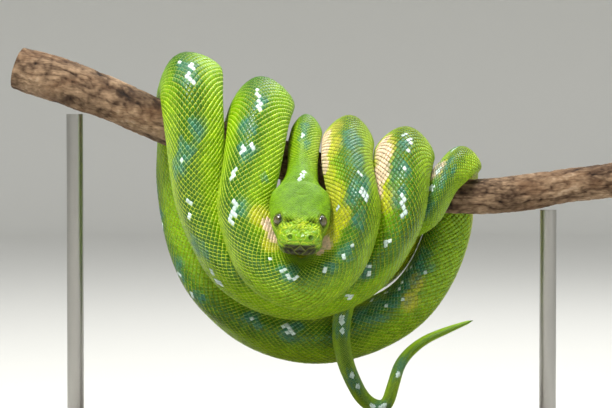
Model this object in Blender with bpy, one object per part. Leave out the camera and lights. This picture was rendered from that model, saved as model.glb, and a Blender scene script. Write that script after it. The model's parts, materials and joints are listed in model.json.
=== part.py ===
"""A coiled green tree python, life size, at rest on a cut branch, on a plain display stand.

The snake's centre line is worked out from a short table: it crosses the top of the branch six
times, and between two crossings it hangs in a half turn, in turn behind and in front. The half
turns are then settled, so that they lie against each other and the branch without touching.
Sizes are in metres, +Z is up and +X runs along the branch. The origin is at the centre of the
underside of the stand's base.
"""

import math

import bmesh
import bpy
import numpy as np
from mathutils import Vector

MM = 0.001

# ---- the stand ----
BASE_LENGTH = 350 * MM
BASE_DEPTH = 170 * MM
BASE_THICK = 14 * MM
BASE_CORNER = 12 * MM
BASE_EDGE = 2 * MM
ROD_RADIUS = 5 * MM
ROD_X = {"left": -138 * MM, "right": 146 * MM}
COLLAR_RADIUS = 10 * MM
COLLAR_HEIGHT = 6 * MM
TOUCH_GAP = 0.3 * MM

# ---- the branch: x, y, height of its axis over or under BRANCH_HEIGHT, and radius ----
BRANCH_HEIGHT = 184 * MM
BRANCH_AXIS = (
    (-172, 5, 58, 13.6),
    (-145, 1, 50, 14.2),
    (-112, -1, 37.5, 13.2),
    (-70, 0, 19.5, 13.0),
    (-28, 1, 8, 12.6),
    (3, 0, -2.5, 12.2),
    (32, 0, -11, 11.8),
    (64, -1, -16.5, 11.4),
    (97, 0, -19, 10.9),
    (128, 1, -17, 11.6),
    (160, 0, -12, 10.8),
    (192, -3, -8, 11.2),
)

# ---- where the body crosses the branch: X, body width and height, and the ridge's lean ----
CROSSINGS = {
    "neck": (1, 19.0, 17.5, 0.0),
    "inner_right": (25.5, 31.5, 25.5, 0.1),
    "inner_left": (-27, 39.0, 29.0, -0.1),
    "middle_right": (60.5, 36.5, 26.5, 0.1),
    "outer_left": (-72, 40.0, 28.0, -0.45),
    "outer_right": (93.5, 22.5, 18.0, 0.0),
}

# ---- the half turns, from the head to the tail, in mm ----
# side: -1 in front of the branch, +1 behind it.
# flanks: X, reach out from the branch's plane and level of the two hanging strands.
# bottom: the same three for the lowest stretch; full: how square the two corners are.
# girth and ridges: body width and height, and where the back's ridge points, on the first
# strand, at the bottom and on the second strand.
HALF_TURNS = (
    dict(start="neck", end="inner_right", side=1,
         flanks=((-5, 27, -8), (28, 27, -10)), bottom=(11, 31, -34), full=(1.35, 1.35),
         girth=((20.5, 18.5), (24.0, 21.5), (27.0, 24.0)),
         ridges=((0, 1, 0.2), (0, 1, 0.2), (0, 1, 0.2))),
    dict(start="inner_right", end="inner_left", side=-1,
         flanks=((27.5, 51.5, -22), (-32.5, 47, -24)), bottom=(-2, 51, -67), full=(1.05, 1.05),
         girth=((29.5, 26.5), (30.5, 28.5), (33.8, 29.0)),
         ridges=((0.15, -1, 0.1), (0, -0.93, 0.42), (-0.42, -0.9, 0.1))),
    dict(start="inner_left", end="middle_right", side=1,
         flanks=((-39, 29, -10), (62, 29, -26)), bottom=(14, 38, -68), full=(1.0, 1.0),
         girth=((34.5, 29.5), (34.5, 30.0), (34.5, 29.5)),
         ridges=((0, 1, 0.2), (0, 1, 0.5), (0, 1, 0.2))),
    dict(start="middle_right", end="outer_left", side=-1,
         flanks=((54, 36, -26), (-57.5, 28.5, -22)), bottom=(-4, 19, -74), full=(0.9, 0.95),
         girth=((33.5, 29.0), (34.0, 30.0), (34.0, 29.0)),
         ridges=((0.35, -0.95, 0.1), (0, -0.95, 0.3), (-0.45, -0.9, 0.1))),
    dict(start="outer_left", end="outer_right", side=1,
         flanks=((-77, 28.5, -11), (84.5, 26, -34)), bottom=(8, 14, -104), full=(1.1, 0.95),
         girth=((34.5, 29.0), (34.0, 29.5), (30.0, 26.5)),
         ridges=((-0.85, 0.35, 0.1), (0, -0.95, 0.1), (-0.75, -0.5, 0.45))),
)

# ---- the head: its snout tip, and how steeply it points down towards the front ----
SNOUT = (-2.8, -88.5, -45.5)
HEAD_PITCH = math.radians(38)
HEAD_ROLL = math.radians(3)
HEAD_LENGTH = 54 * MM
HEAD_PLAN = (
    # distance from the snout tip, half width at the lips, height over and under the axis,
    # squareness, and how much narrower the top is
    (0.0, 0.6, 0.5, 0.6, 2.0, 0.0),
    (0.8, 6.6, 3.8, 5.2, 2.2, 0.05),
    (2.2, 9.6, 5.6, 7.5, 2.5, 0.08),
    (4.5, 12.0, 7.0, 8.8, 2.7, 0.12),
    (8.0, 13.5, 7.7, 9.4, 2.7, 0.19),
    (12.0, 14.5, 7.8, 9.6, 2.7, 0.28),
    (16.0, 15.9, 7.7, 9.8, 2.6, 0.32),
    (19.5, 17.1, 8.2, 9.9, 2.5, 0.31),
    (23.0, 18.0, 8.8, 10.0, 2.4, 0.26),
    (28.0, 18.5, 9.3, 10.1, 2.3, 0.18),
    (34.0, 18.2, 9.8, 10.2, 2.3, 0.09),
    (40.0, 17.6, 10.0, 10.2, 2.2, 0.03),
    (46.0, 16.3, 9.8, 9.8, 2.1, 0.0),
    (51.0, 14.0, 9.4, 9.2, 2.0, 0.0),
    (56.0, 11.5, 9.0, 8.7, 2.0, 0.0),
    (62.0, 9.9, 8.7, 8.5, 2.0, 0.0),
)
HEAD_BUMPS = (
    # distance from the snout tip, out from the midline, up from the axis, spread, height
    (5.2, 7.0, 5.5, 4.0, 1.3),  # swollen sides of the nose
    (5.0, 0.0, 8.0, 2.6, -0.5),
    (13.5, 6.5, 7.0, 3.2, -1.3),  # hollow before the eye
    (20.5, 9.5, 8.0, 4.2, 1.3),  # brow
    (27.0, 0.0, 9.0, 4.5, -0.4),
    (38.0, 9.5, 8.0, 7.5, 1.3),  # temples
    (40.0, 0.0, 10.0, 5.0, -1.2),
)
EYE_PLACE = (20.5, 11.9, 3.4)  # back from the snout, out from the midline, up from the axis
EYE_RADIUS = 3.5 * MM
SOCKET_GAP = 0.3 * MM
MOUTH_BACK = 38.0  # how far back the mouth is slit
MOUTH_LEVEL = (-6.4, -5.6)  # height of the slit at the snout and at its corner
MOUTH_GAP = 0.4

# ---- the neck and the tail, as places that the body passes: x, y, z, width, height ----
NECK_PLACES = ((-1.8, -31, -3, 18.5, 17.0), (-1.0, -17, 10.5, 18.5, 16.8))
TAIL_PLACES = (
    (78, -19.5, -6, 19.0, 17.0),
    (69, -21, -18, 17.0, 15.5),
    (58, -13, -31, 16.0, 14.8),
    (48, -3, -44, 14.8, 13.8),
    (35, 1, -61, 13.2, 12.6),
    (24, 0, -84, 11.8, 11.4),
    (22, -4, -106, 10.7, 10.3),
    (28, -10, -127, 9.6, 9.4),
    (38, -14, -142, 8.7, 8.5),
    (47, -17, -144, 8.0, 7.9),
    (52, -18, -132, 7.4, 7.3),
    (57, -18, -117, 6.7, 6.6),
    (69, -18, -105, 5.6, 5.5),
    (84, -17, -98, 4.2, 4.2),
    (100, -16, -92, 1.6, 1.6),
)

# ---- how a half turn's strands are shaped between a crossing and the lowest stretch ----
CORNER_BEND = math.radians(47)  # where on the corner's arc its place is taken
CORNER_REACH = 0.6  # share of the way from the flank's reach to the bottom's
SHOULDER_DROP = 0.66  # height of the shoulder over the branch's axis, against the flank's reach
SHOULDER_SHIFT = 0.3  # share of the way along the branch from the crossing to the flank
SHOULDER_REACH = (0.65, 0.15)  # shares of the branch's side and of the flank's reach

# ---- settling ----
STEP = 3.5 * MM  # spacing of the centre line's points
CLEARANCE = 0.4 * MM  # least gap between two coils
BARK = 1.1 * MM  # room for the bark's relief
ROUNDS = 420
LOOK_AGAIN = 12  # rounds between two searches for coils that lie close
LOOK_AROUND = 12 * MM
HEAD_HELD = 18 * MM  # length of neck over which the hold on the head fades
PRESS_SHARE = 0.35  # share of an overlap that one round takes away, between coils
LIFT_SHARE = 0.8  # and between a coil and the branch
PULL_BACK = 0.02  # pull towards the planned route in the first rounds

# ---- sections ----
HEAD_BLEND = 48  # mm from the snout, where the head's section starts to become the body's
NECK_START = 58 * MM  # where the head's node ends
RING = 14  # corners of a body section
TAIL_RING = 10
HEAD_RING = 26
SPACING = 8.5 * MM  # distance between two body sections
PART_GAP = 0.15 * MM  # half the cut between two lengths of the body
TAIL_SHARES = (0, 0.36, 0.62, 1)  # where the tail is cut
BRANCH_KNOBS = ((3, 60, 0.024), (2, -95, 0.02))  # waves around, waves along, share of radius
BRANCH_STATIONS = 38
BRANCH_RING = 14


# ---- curves and sections ----
def through(stops, values, at):
    """A smooth curve through values given at stops, read at the places in at."""
    stops = np.asarray(stops, float)
    values = np.asarray(values, float)
    flat = values.ndim == 1
    if flat:
        values = values[:, None]
    gaps = np.diff(stops)
    slopes = np.diff(values, axis=0) / gaps[:, None]
    tangents = np.empty_like(values)
    tangents[0], tangents[-1] = slopes[0], slopes[-1]
    before, after = gaps[:-1, None], gaps[1:, None]
    tangents[1:-1] = (slopes[:-1] * after + slopes[1:] * before) / (before + after)
    k = np.clip(np.searchsorted(stops, at, side="right") - 1, 0, len(gaps) - 1)
    width = gaps[k][:, None]
    u = ((np.asarray(at, float) - stops[k]) / gaps[k])[:, None]
    curve = (
        values[k] * (1 + 2 * u) * (1 - u) ** 2
        + tangents[k] * width * u * (1 - u) ** 2
        + values[k + 1] * u**2 * (3 - 2 * u)
        + tangents[k + 1] * width * u**2 * (u - 1)
    )
    return curve[:, 0] if flat else curve


def lengths_along(points):
    return np.concatenate([[0], np.cumsum(np.linalg.norm(np.diff(points, axis=0), axis=1))])


def ring_angles(count):
    return np.arange(count) * 2 * math.pi / count


def unit(vectors):
    return vectors / np.maximum(np.linalg.norm(vectors, axis=-1, keepdims=True), 1e-12)


def branch_at(x):
    """Centre, radius and direction of the branch at each X."""
    table = np.array(BRANCH_AXIS, float) * MM
    found = through(table[:, 0], table[:, 1:], x)
    centre = np.stack([x, found[:, 0], found[:, 1] + BRANCH_HEIGHT], axis=1)
    slope = (through(table[:, 0], table[:, 1:3], x + 1 * MM) - found[:, :2]) / MM
    return centre, found[:, 2], unit(np.column_stack([np.ones(len(x)), slope]))


# ---- the route of the body ----
def crossing_place(name):
    """Where the body's centre line lies on top of the branch, with its section and ridge."""
    x, width, height, lean = CROSSINGS[name]
    centre, radius, _ = branch_at(np.array([x * MM]))
    top = centre[0] + (0, 0, radius[0] + BARK + height / 2 * MM)
    return [*top, width * MM, height * MM, *unit(np.array([lean, 0, 1.0]))]


def half_turn_places(turn):
    """The places that one half turn passes between its two crossings."""
    side = turn["side"]
    low_x, low_reach, low_level = turn["bottom"]
    strands = []
    for index, end in enumerate(("start", "end")):
        cross_x, *cross_girth = CROSSINGS[turn[end]][:3]
        flank_x, reach, level = turn["flanks"][index]
        girth = np.array(turn["girth"][2 * index], float)
        ridge = unit(np.array(turn["ridges"][2 * index], float))
        centre, radius, _ = branch_at(np.array([cross_x * MM]))
        beside = (radius[0] + BARK) / MM + girth[1] / 2
        axis = (centre[0][2] - BRANCH_HEIGHT) / MM
        shoulder_reach = beside * SHOULDER_REACH[0] + reach * SHOULDER_REACH[1]
        shoulder = [cross_x + (flank_x - cross_x) * SHOULDER_SHIFT, side * shoulder_reach,
                    axis + beside * SHOULDER_DROP, *((girth + cross_girth) / 2),
                    *unit(np.array([0, side, 0.8]) + ridge * 0.2)]
        flank = [flank_x, side * reach, level, *girth, *ridge]
        out = math.cos(CORNER_BEND) ** (1 / turn["full"][index])
        down = math.sin(CORNER_BEND) ** (1 / turn["full"][index])
        corner_reach = reach + (low_reach - reach) * CORNER_REACH
        corner = [low_x + (flank_x - low_x) * out, side * corner_reach,
                  level + (low_level - level) * down,
                  *((girth + turn["girth"][1]) / 2), *unit(ridge + turn["ridges"][1])]
        strands.append([shoulder, flank, corner])
    bottom = [low_x, side * low_reach, low_level, *turn["girth"][1],
              *unit(np.array(turn["ridges"][1], float))]
    first, last = strands
    places = np.array([*first, bottom, *reversed(last)], float)
    places[:, :5] *= MM
    places[:, 2] += BRANCH_HEIGHT
    return places.tolist()


def head_places():
    """The straight centre line of the head, from the snout tip to its back."""
    back = np.array([0, math.cos(HEAD_PITCH), math.sin(HEAD_PITCH)])
    crown = [math.sin(HEAD_ROLL), -math.sin(HEAD_PITCH), math.cos(HEAD_PITCH)]
    tip = np.array(SNOUT) * MM + (0, 0, BRANCH_HEIGHT)
    places = []
    for share in (0, 0.25, 0.5, 0.75, 1):
        along = share * HEAD_LENGTH
        table = np.array(HEAD_PLAN, float)
        wide, over, under = through(table[:, 0], table[:, 1:4], np.array([along / MM]))[0]
        places.append([*(tip + back * along), 2 * wide * MM, (over + under) * MM, *crown])
    return places


def route():
    """Centre line, section width and height, and ridge direction, from snout to tail tip."""
    places = head_places()
    for x, y, z, width, height in NECK_PLACES:
        places.append([x * MM, y * MM, z * MM + BRANCH_HEIGHT, width * MM, height * MM,
                       *unit(np.array([0, -1.0, 0.9]))])
    places.append(crossing_place("neck"))
    landmarks = {"neck": len(places) - 1}
    for number, turn in enumerate(HALF_TURNS, start=1):
        middle = len(places) + 3
        places += half_turn_places(turn)
        landmarks[f"turn_{number}"] = middle
        places.append(crossing_place(turn["end"]))
        landmarks[turn["end"]] = len(places) - 1
    for number, (x, y, z, width, height) in enumerate(TAIL_PLACES):
        lean = 0.8 ** (1 + number)
        ridge = unit(np.array([0.5 * lean, -1, lean]))
        places.append([x * MM, y * MM, z * MM + BRANCH_HEIGHT, width * MM, height * MM, *ridge])
    places = np.array(places, float)
    stops = np.concatenate([[0], np.cumsum(
        np.linalg.norm(np.diff(places[:, :3], axis=0), axis=1) ** 0.8)])
    fine = through(stops, places, np.linspace(0, stops[-1], 4000))
    distance = lengths_along(fine[:, :3])
    count = int(distance[-1] / STEP) + 1
    at = np.linspace(0, distance[-1], count)
    even = np.stack([np.interp(at, distance, column) for column in fine.T], axis=1)
    fine_stops = np.linspace(0, stops[-1], 4000)
    marks = {name: float(np.interp(stops[i], fine_stops, distance)) / distance[-1]
             for name, i in landmarks.items()}
    return even, marks


def frames(points, ridges):
    """Unit vectors at each point: along the body, towards the ridge and to the side."""
    along = unit(np.gradient(points, axis=0))
    ridge = ridges - along * np.sum(ridges * along, axis=1, keepdims=True)
    ridge = unit(ridge)
    for _ in range(6):
        ridge[1:-1] = ridge[:-2] + 2 * ridge[1:-1] + ridge[2:]
        ridge = unit(ridge - along * np.sum(ridge * along, axis=1, keepdims=True))
    return along, ridge, np.cross(along, ridge)


def support(width, height, sideways, upward):
    """How far sections of these sizes reach towards a direction."""
    across, up = body_unit(ring_angles(28))
    return np.max(across[:, None] * (width * sideways) + up[:, None] * (height * upward), axis=0)


def settle(body):
    """Moves the centre line until no two coils, and no coil and the branch, are too close."""
    wanted = body[:, :3].copy()
    place = wanted.copy()
    width, height = body[:, 3], body[:, 4]
    order = np.arange(len(body))
    size = np.maximum(width, height)
    free = np.clip((order * STEP - HEAD_LENGTH) / HEAD_HELD, 0, 1)[:, None]
    first, second = np.triu_indices(len(body), k=4)
    along_body = (second - first) * STEP
    counts = along_body > 1.35 * (size[first] + size[second]) / 2 + 3 * STEP
    first, second = first[counts], second[counts]
    worst = 0.0
    for turn in range(ROUNDS):
        if turn % LOOK_AGAIN == 0:
            span = np.linalg.norm(place[first] - place[second], axis=1)
            close = span < (size[first] + size[second]) / 2 + LOOK_AROUND
            i, j = first[close], second[close]
        _, ridge, side = frames(place, body[:, 5:8])
        gap = place[i] - place[j]
        span = np.linalg.norm(gap, axis=1)
        way = gap / span[:, None]
        need = CLEARANCE + support(width[i], height[i], -(way * side[i]).sum(axis=1),
                                   -(way * ridge[i]).sum(axis=1))
        need += support(width[j], height[j], (way * side[j]).sum(axis=1),
                        (way * ridge[j]).sum(axis=1))
        press = np.maximum(need - span, 0)
        worst = float(press.max(initial=0.0))
        push = np.zeros_like(place)
        hits = np.zeros(len(place))
        for ends, sign in ((i, 1), (j, -1)):
            np.add.at(push, ends, sign * way * press[:, None])
            np.add.at(hits, ends, press > 0)
        push /= np.sqrt(np.maximum(hits, 1))[:, None]
        centre, radius, forward = branch_at(place[:, 0])
        out = place - centre
        out -= forward * (out * forward).sum(axis=1)[:, None]
        off = np.linalg.norm(out, axis=1)
        out = out / off[:, None]
        mine = support(width, height, -(out * side).sum(axis=1), -(out * ridge).sum(axis=1))
        lack = np.maximum(radius + BARK + mine + CLEARANCE / 2 - off, 0)
        place = place + free * (PRESS_SHARE * push + LIFT_SHARE * out * lack[:, None])
        if turn < ROUNDS * 0.6:
            place = place + free * PULL_BACK * (wanted - place)
        shift = place - wanted
        smooth = shift.copy()
        smooth[1:-1] = (shift[:-2] + 2 * shift[1:-1] + shift[2:]) / 4
        blend = 0.5 if turn < ROUNDS * 0.8 else 0.1
        place = wanted + shift * (1 - blend) + smooth * blend
    body = body.copy()
    body[:, :3] = place
    return body, worst


def even_body():
    """The settled body as functions of the distance from the snout tip."""
    body, marks = route()
    body, left = settle(body)
    for _ in range(2):
        body[20:-3, :3] = (body[19:-4, :3] + 2 * body[20:-3, :3] + body[21:-2, :3]) / 4
    distance = lengths_along(body[:, :3])
    marks = {name: share * distance[-1] for name, share in marks.items()}
    along, ridge, side = frames(body[:, :3], body[:, 5:8])
    print(f"body length {distance[-1]:.3f} m, closest coils short by {left * 1000:.2f} mm")
    return dict(distance=distance, place=body[:, :3], width=body[:, 3], height=body[:, 4],
                ridge=ridge, side=side, along=along, marks=marks)


def body_unit(theta):
    """A body section of width and height 1: a rounded triangle, ridge up, belly flat."""
    across = np.sin(theta) * (1 - 0.15 * np.cos(theta))
    up = np.cos(theta) + 0.1 * np.cos(2 * theta) + 0.03 * np.cos(3 * theta) - 0.1
    return across / 2.02, up / 2.06


def head_section(at, theta):
    """The head's own section at a distance from the snout tip, across and up, in metres."""
    table = np.array(HEAD_PLAN, float)
    wide, over, under, square, taper = through(table[:, 0], table[:, 1:], np.array([at / MM]))[0]
    sine, cosine = np.sin(theta), np.cos(theta)
    across = np.sign(sine) * np.abs(sine) ** (2 / square) * wide
    across = across * (1 - taper * (1 + cosine) / 2)
    up = np.sign(cosine) * np.abs(cosine) ** (2 / square)
    up = np.where(up > 0, up * over, up * under)
    distance = np.maximum(np.hypot(across, up), 0.1)
    grow = np.zeros_like(across)
    for back, out, level, spread, height in HEAD_BUMPS:
        away = (at / MM - back) ** 2 + (np.abs(across) - out) ** 2 + (up - level) ** 2
        grow += height * np.exp(-away / spread**2)
    return across * (1 + grow / distance) * MM, up * (1 + grow / distance) * MM


def section(body, at, theta):
    """Points of the section at a distance from the snout tip, for each angle theta."""
    place, ridge, side = (
        np.array([np.interp(at, body["distance"], column) for column in body[key].T])
        for key in ("place", "ridge", "side"))
    across, up = body_unit(theta)
    across = across * np.interp(at, body["distance"], body["width"])
    up = up * np.interp(at, body["distance"], body["height"])
    if at < HEAD_PLAN[-1][0] * MM:
        share = np.clip((at / MM - HEAD_BLEND) / (HEAD_PLAN[-1][0] - HEAD_BLEND), 0, 1)
        share = share * share * (3 - 2 * share)
        head_across, head_up = head_section(at, theta)
        across = head_across * (1 - share) + across * share
        up = head_up * (1 - share) + up * share
    return place + across[:, None] * side + up[:, None] * ridge


# ---- building helpers ----
def clear_scene():
    for obj in list(bpy.data.objects):
        bpy.data.objects.remove(obj, do_unlink=True)


def material(name, colour, roughness, metallic=0.0):
    made = bpy.data.materials.new(name)
    made.use_nodes = True
    shader = made.node_tree.nodes["Principled BSDF"]
    shader.inputs["Base Color"].default_value = (*colour, 1)
    shader.inputs["Roughness"].default_value = roughness
    shader.inputs["Metallic"].default_value = metallic
    return made


def new_object(name, mesh, finish, group):
    obj = bpy.data.objects.new(name, mesh)
    group.objects.link(obj)
    if finish is not None:
        mesh.materials.append(finish)
    mesh.shade_smooth()
    mesh.set_sharp_from_angle(angle=math.radians(50))
    return obj


def loft(name, rings, finish, group):
    """A closed solid through rings of points, each with the same number of corners."""
    mesh_of = bmesh.new()
    rows = [[mesh_of.verts.new(point) for point in ring] for ring in rings]
    size = len(rows[0])
    for first, second in zip(rows[:-1], rows[1:], strict=True):
        for i in range(size):
            j = (i + 1) % size
            mesh_of.faces.new((first[i], first[j], second[j], second[i]))
    mesh_of.faces.new(tuple(reversed(rows[0])))
    mesh_of.faces.new(tuple(rows[-1]))
    bmesh.ops.recalc_face_normals(mesh_of, faces=mesh_of.faces)
    mesh = bpy.data.meshes.new(name)
    mesh_of.to_mesh(mesh)
    mesh_of.free()
    return new_object(name, mesh, finish, group)


def body_length(name, body, start, end, ring, finish, group):
    """One length of the body, between two distances from the snout tip."""
    start, end = start + PART_GAP, end - PART_GAP
    stations = max(2, round((end - start) / SPACING) + 1)
    theta = ring_angles(ring)
    rings = [section(body, at, theta) for at in np.linspace(start, end, stations)]
    return loft(name, rings, finish, group)


# ---- the snake ----
def head_frame(body):
    """Origin at the snout tip, then unit vectors back along the head, up and to the side."""
    return body["place"][0], body["along"][0], body["ridge"][0], body["side"][0]


def in_head(body, back, out, up):
    """A place in the head, in millimetres from the snout tip, as a point in space."""
    tip, along, ridge, side = head_frame(body)
    return Vector(tip + (along * back + side * out + ridge * up) * MM)


def mouth_block(body, name, grow, group):
    """A wedge that covers the lower jaw, a little larger by grow on its top and back."""
    top_front, top_back = (level + grow for level in MOUTH_LEVEL)
    corners = []
    for out in (-30, 30):
        for back, up in ((-8, top_front), (MOUTH_BACK + grow, top_back),
                         (MOUTH_BACK + grow, -30), (-8, -30)):
            corners.append(in_head(body, back, out, up))
    mesh_of = bmesh.new()
    verts = [mesh_of.verts.new(point) for point in corners]
    bmesh.ops.convex_hull(mesh_of, input=verts)
    mesh = bpy.data.meshes.new(name)
    mesh_of.to_mesh(mesh)
    mesh_of.free()
    block = bpy.data.objects.new(name, mesh)
    group.objects.link(block)
    block.hide_render = True
    block.display_type = "WIRE"
    return block


def cut(obj, cutter, operation):
    change = obj.modifiers.new(cutter.name, "BOOLEAN")
    change.operation = operation
    change.solver = "EXACT"
    change.object = cutter


def ball(name, centre, radius, rings, group):
    mesh_of = bmesh.new()
    bmesh.ops.create_uvsphere(mesh_of, u_segments=2 * rings, v_segments=rings, radius=radius)
    mesh = bpy.data.meshes.new(name)
    mesh_of.to_mesh(mesh)
    mesh_of.free()
    obj = bpy.data.objects.new(name, mesh)
    obj.location = centre
    group.objects.link(obj)
    return obj


def build_head(body, finishes, group, cutters):
    """The head with its slit mouth and eye sockets, the lower jaw and the two eyes."""
    table = [row[0] * MM for row in HEAD_PLAN if row[0] * MM < NECK_START - 3 * MM]
    stations = [0.12 * MM, *table[1:], NECK_START - PART_GAP]
    theta = ring_angles(HEAD_RING)
    rings = [section(body, at, theta) for at in stations]
    head = loft("head", rings, finishes["skin"], group)
    jaw = loft("lower_jaw", rings, finishes["skin"], group)
    cut(head, mouth_block(body, "cut_mouth", MOUTH_GAP, cutters), "DIFFERENCE")
    cut(jaw, mouth_block(body, "keep_jaw", 0.0, cutters), "INTERSECT")
    for name, hand in (("left", 1), ("right", -1)):
        back, out, up = EYE_PLACE
        centre = in_head(body, back, hand * out, up)
        socket = ball(f"cut_socket_{name}", centre, EYE_RADIUS + SOCKET_GAP, 8, cutters)
        socket.hide_render = True
        socket.display_type = "WIRE"
        cut(head, socket, "DIFFERENCE")
        eye = ball(f"eye_{name}", centre, EYE_RADIUS, 8, group)
        eye.data.materials.append(finishes["eye"])
        eye.data.shade_smooth()


def build_body(body, finishes, group):
    """The neck, the trunk in lengths cut at each crossing and low point, and the tail."""
    marks = body["marks"]
    names = ["neck", "inner_right", "inner_left", "middle_right", "outer_left", "outer_right"]
    cuts = [NECK_START, marks["neck"]]
    for number, end in enumerate(names[1:], start=1):
        cuts += [marks[f"turn_{number}"], marks[end]]
    body_length("neck", body, cuts[0], cuts[1], RING, finishes["skin"], group)
    for number, (start, end) in enumerate(zip(cuts[1:-1], cuts[2:], strict=True), start=1):
        body_length(f"trunk_{number:02d}", body, start, end, RING, finishes["skin"], group)
    tail_start, tail_end = cuts[-1], body["distance"][-1]
    tail_cuts = [tail_start + (tail_end - tail_start) * share for share in TAIL_SHARES]
    tail_names = ("tail_base", "tail_middle", "tail_tip")
    for name, start, end in zip(tail_names, tail_cuts[:-1], tail_cuts[1:], strict=True):
        body_length(name, body, start, end, TAIL_RING, finishes["skin"], group)


# ---- the branch ----
def build_branch(finishes, group):
    """The cut branch: a tube with a slightly uneven round, sawn off at both ends."""
    table = np.array(BRANCH_AXIS, float) * MM
    stations = np.linspace(table[0, 0], table[-1, 0], BRANCH_STATIONS)
    centre, radius, along = branch_at(stations)
    theta = ring_angles(BRANCH_RING)
    smallest = 1 - sum(share for _, _, share in BRANCH_KNOBS)
    rings = []
    for x, middle, size, forward in zip(stations, centre, radius, along, strict=True):
        upward = unit(np.array([0, 0, 1.0]) - forward * forward[2])
        sideways = np.cross(forward, upward)
        knobs = sum(share * np.sin(around * theta + x * waves)
                    for around, waves, share in BRANCH_KNOBS)
        knobbly = size * (smallest + knobs)
        rings.append(middle + knobbly[:, None] * (np.cos(theta)[:, None] * upward
                                                  + np.sin(theta)[:, None] * sideways))
    return loft("branch", rings, finishes["bark"], group)


# ---- the stand ----
def round_plate(name, length, depth, thick, corner, edge, finish, group):
    """A flat plate with rounded corners, standing on Z = 0, its top edge eased."""
    mesh_of = bmesh.new()
    bmesh.ops.create_cube(mesh_of, size=1)
    bmesh.ops.scale(mesh_of, vec=(length, depth, thick), verts=mesh_of.verts)
    bmesh.ops.translate(mesh_of, vec=(0, 0, thick / 2), verts=mesh_of.verts)
    upright = [e for e in mesh_of.edges if abs(e.verts[0].co.z - e.verts[1].co.z) > thick / 2]
    bmesh.ops.bevel(mesh_of, geom=upright, offset=corner, segments=6, profile=0.5,
                    affect="EDGES", material=-1)
    top = [e for e in mesh_of.edges if all(v.co.z > thick * 0.9 for v in e.verts)]
    bmesh.ops.bevel(mesh_of, geom=top, offset=edge, segments=2, profile=0.5,
                    affect="EDGES", material=-1)
    mesh = bpy.data.meshes.new(name)
    mesh_of.to_mesh(mesh)
    mesh_of.free()
    return new_object(name, mesh, finish, group)


def cylinder(name, radius, low, high, x, y, finish, group, sides=20):
    mesh_of = bmesh.new()
    bmesh.ops.create_cone(mesh_of, cap_ends=True, segments=sides, radius1=radius,
                          radius2=radius, depth=high - low)
    mesh = bpy.data.meshes.new(name)
    mesh_of.to_mesh(mesh)
    mesh_of.free()
    obj = new_object(name, mesh, finish, group)
    obj.location = (x, y, (low + high) / 2)
    return obj


def build_stand(finishes, group):
    """A flat base, and two rods in collars that carry the branch near its ends."""
    round_plate("stand_base", BASE_LENGTH, BASE_DEPTH, BASE_THICK, BASE_CORNER, BASE_EDGE,
                finishes["base"], group)
    for hand, x in ROD_X.items():
        centre = branch_at(np.array([x]))[0]
        low = BASE_THICK + TOUCH_GAP
        collar_top = low + COLLAR_HEIGHT
        cylinder(f"stand_collar_{hand}", COLLAR_RADIUS, low, collar_top, x, centre[0][1],
                 finishes["rod"], group, sides=24)
        over, thick, forward = branch_at(x + np.linspace(-ROD_RADIUS, ROD_RADIUS, 5))
        rod_top = float(np.min(over[:, 2] - thick / forward[:, 0])) - TOUCH_GAP
        cylinder(f"stand_rod_{hand}", ROD_RADIUS, collar_top + TOUCH_GAP, rod_top, x,
                 centre[0][1], finishes["rod"], group)


def main():
    clear_scene()
    scene = bpy.context.scene.collection
    group = bpy.data.collections.new("coiled_green_tree_python")
    cutters = bpy.data.collections.new("cutters")
    scene.children.link(group)
    scene.children.link(cutters)
    finishes = {
        "skin": material("skin", (0.13, 0.36, 0.02), 0.4),
        "eye": material("eye", (0.30, 0.31, 0.22), 0.1),
        "bark": material("bark", (0.19, 0.13, 0.08), 0.9),
        "base": material("base", (0.05, 0.03, 0.02), 0.5),
        "rod": material("rod", (0.35, 0.34, 0.33), 0.35, 1.0),
    }
    body = even_body()
    build_body(body, finishes, group)
    build_head(body, finishes, group, cutters)
    build_branch(finishes, group)
    build_stand(finishes, group)


main()
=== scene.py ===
# %% [markdown]
# # A green tree python on its branch
#
# The real thing is an adult snake, 1.8 m long, that rests in hanging loops over a branch. This
# file makes its looks: one smooth skin, tens of thousands of separate scales over it, the head
# with its lip plates and eyes, the bark, and the plain stand that carries the branch.
#
# We start by loading the solid model, which fixes every place and size.

# %% The solid model
import json
import math

import bmesh
import bpy
import numpy as np
from mathutils.bvhtree import BVHTree
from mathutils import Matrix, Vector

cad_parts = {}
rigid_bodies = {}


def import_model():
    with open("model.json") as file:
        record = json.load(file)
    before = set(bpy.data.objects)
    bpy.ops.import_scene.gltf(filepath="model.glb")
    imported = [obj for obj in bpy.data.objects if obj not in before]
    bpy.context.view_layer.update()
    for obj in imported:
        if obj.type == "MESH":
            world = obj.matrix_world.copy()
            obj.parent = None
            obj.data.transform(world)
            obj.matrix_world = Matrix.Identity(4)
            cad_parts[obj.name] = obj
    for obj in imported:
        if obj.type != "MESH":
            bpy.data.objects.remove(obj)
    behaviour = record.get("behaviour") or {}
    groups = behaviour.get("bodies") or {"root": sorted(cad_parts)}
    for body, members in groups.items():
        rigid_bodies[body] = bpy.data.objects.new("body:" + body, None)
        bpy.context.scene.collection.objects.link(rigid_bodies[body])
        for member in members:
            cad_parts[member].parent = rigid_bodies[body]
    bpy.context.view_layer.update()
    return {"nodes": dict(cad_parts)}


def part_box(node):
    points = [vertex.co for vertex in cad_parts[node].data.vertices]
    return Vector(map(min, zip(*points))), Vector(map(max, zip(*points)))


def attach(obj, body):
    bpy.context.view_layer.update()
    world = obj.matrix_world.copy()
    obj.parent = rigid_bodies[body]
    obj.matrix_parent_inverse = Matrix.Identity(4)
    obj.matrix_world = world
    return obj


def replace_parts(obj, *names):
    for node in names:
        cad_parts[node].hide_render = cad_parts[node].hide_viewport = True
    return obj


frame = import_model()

MM = 0.001

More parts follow.
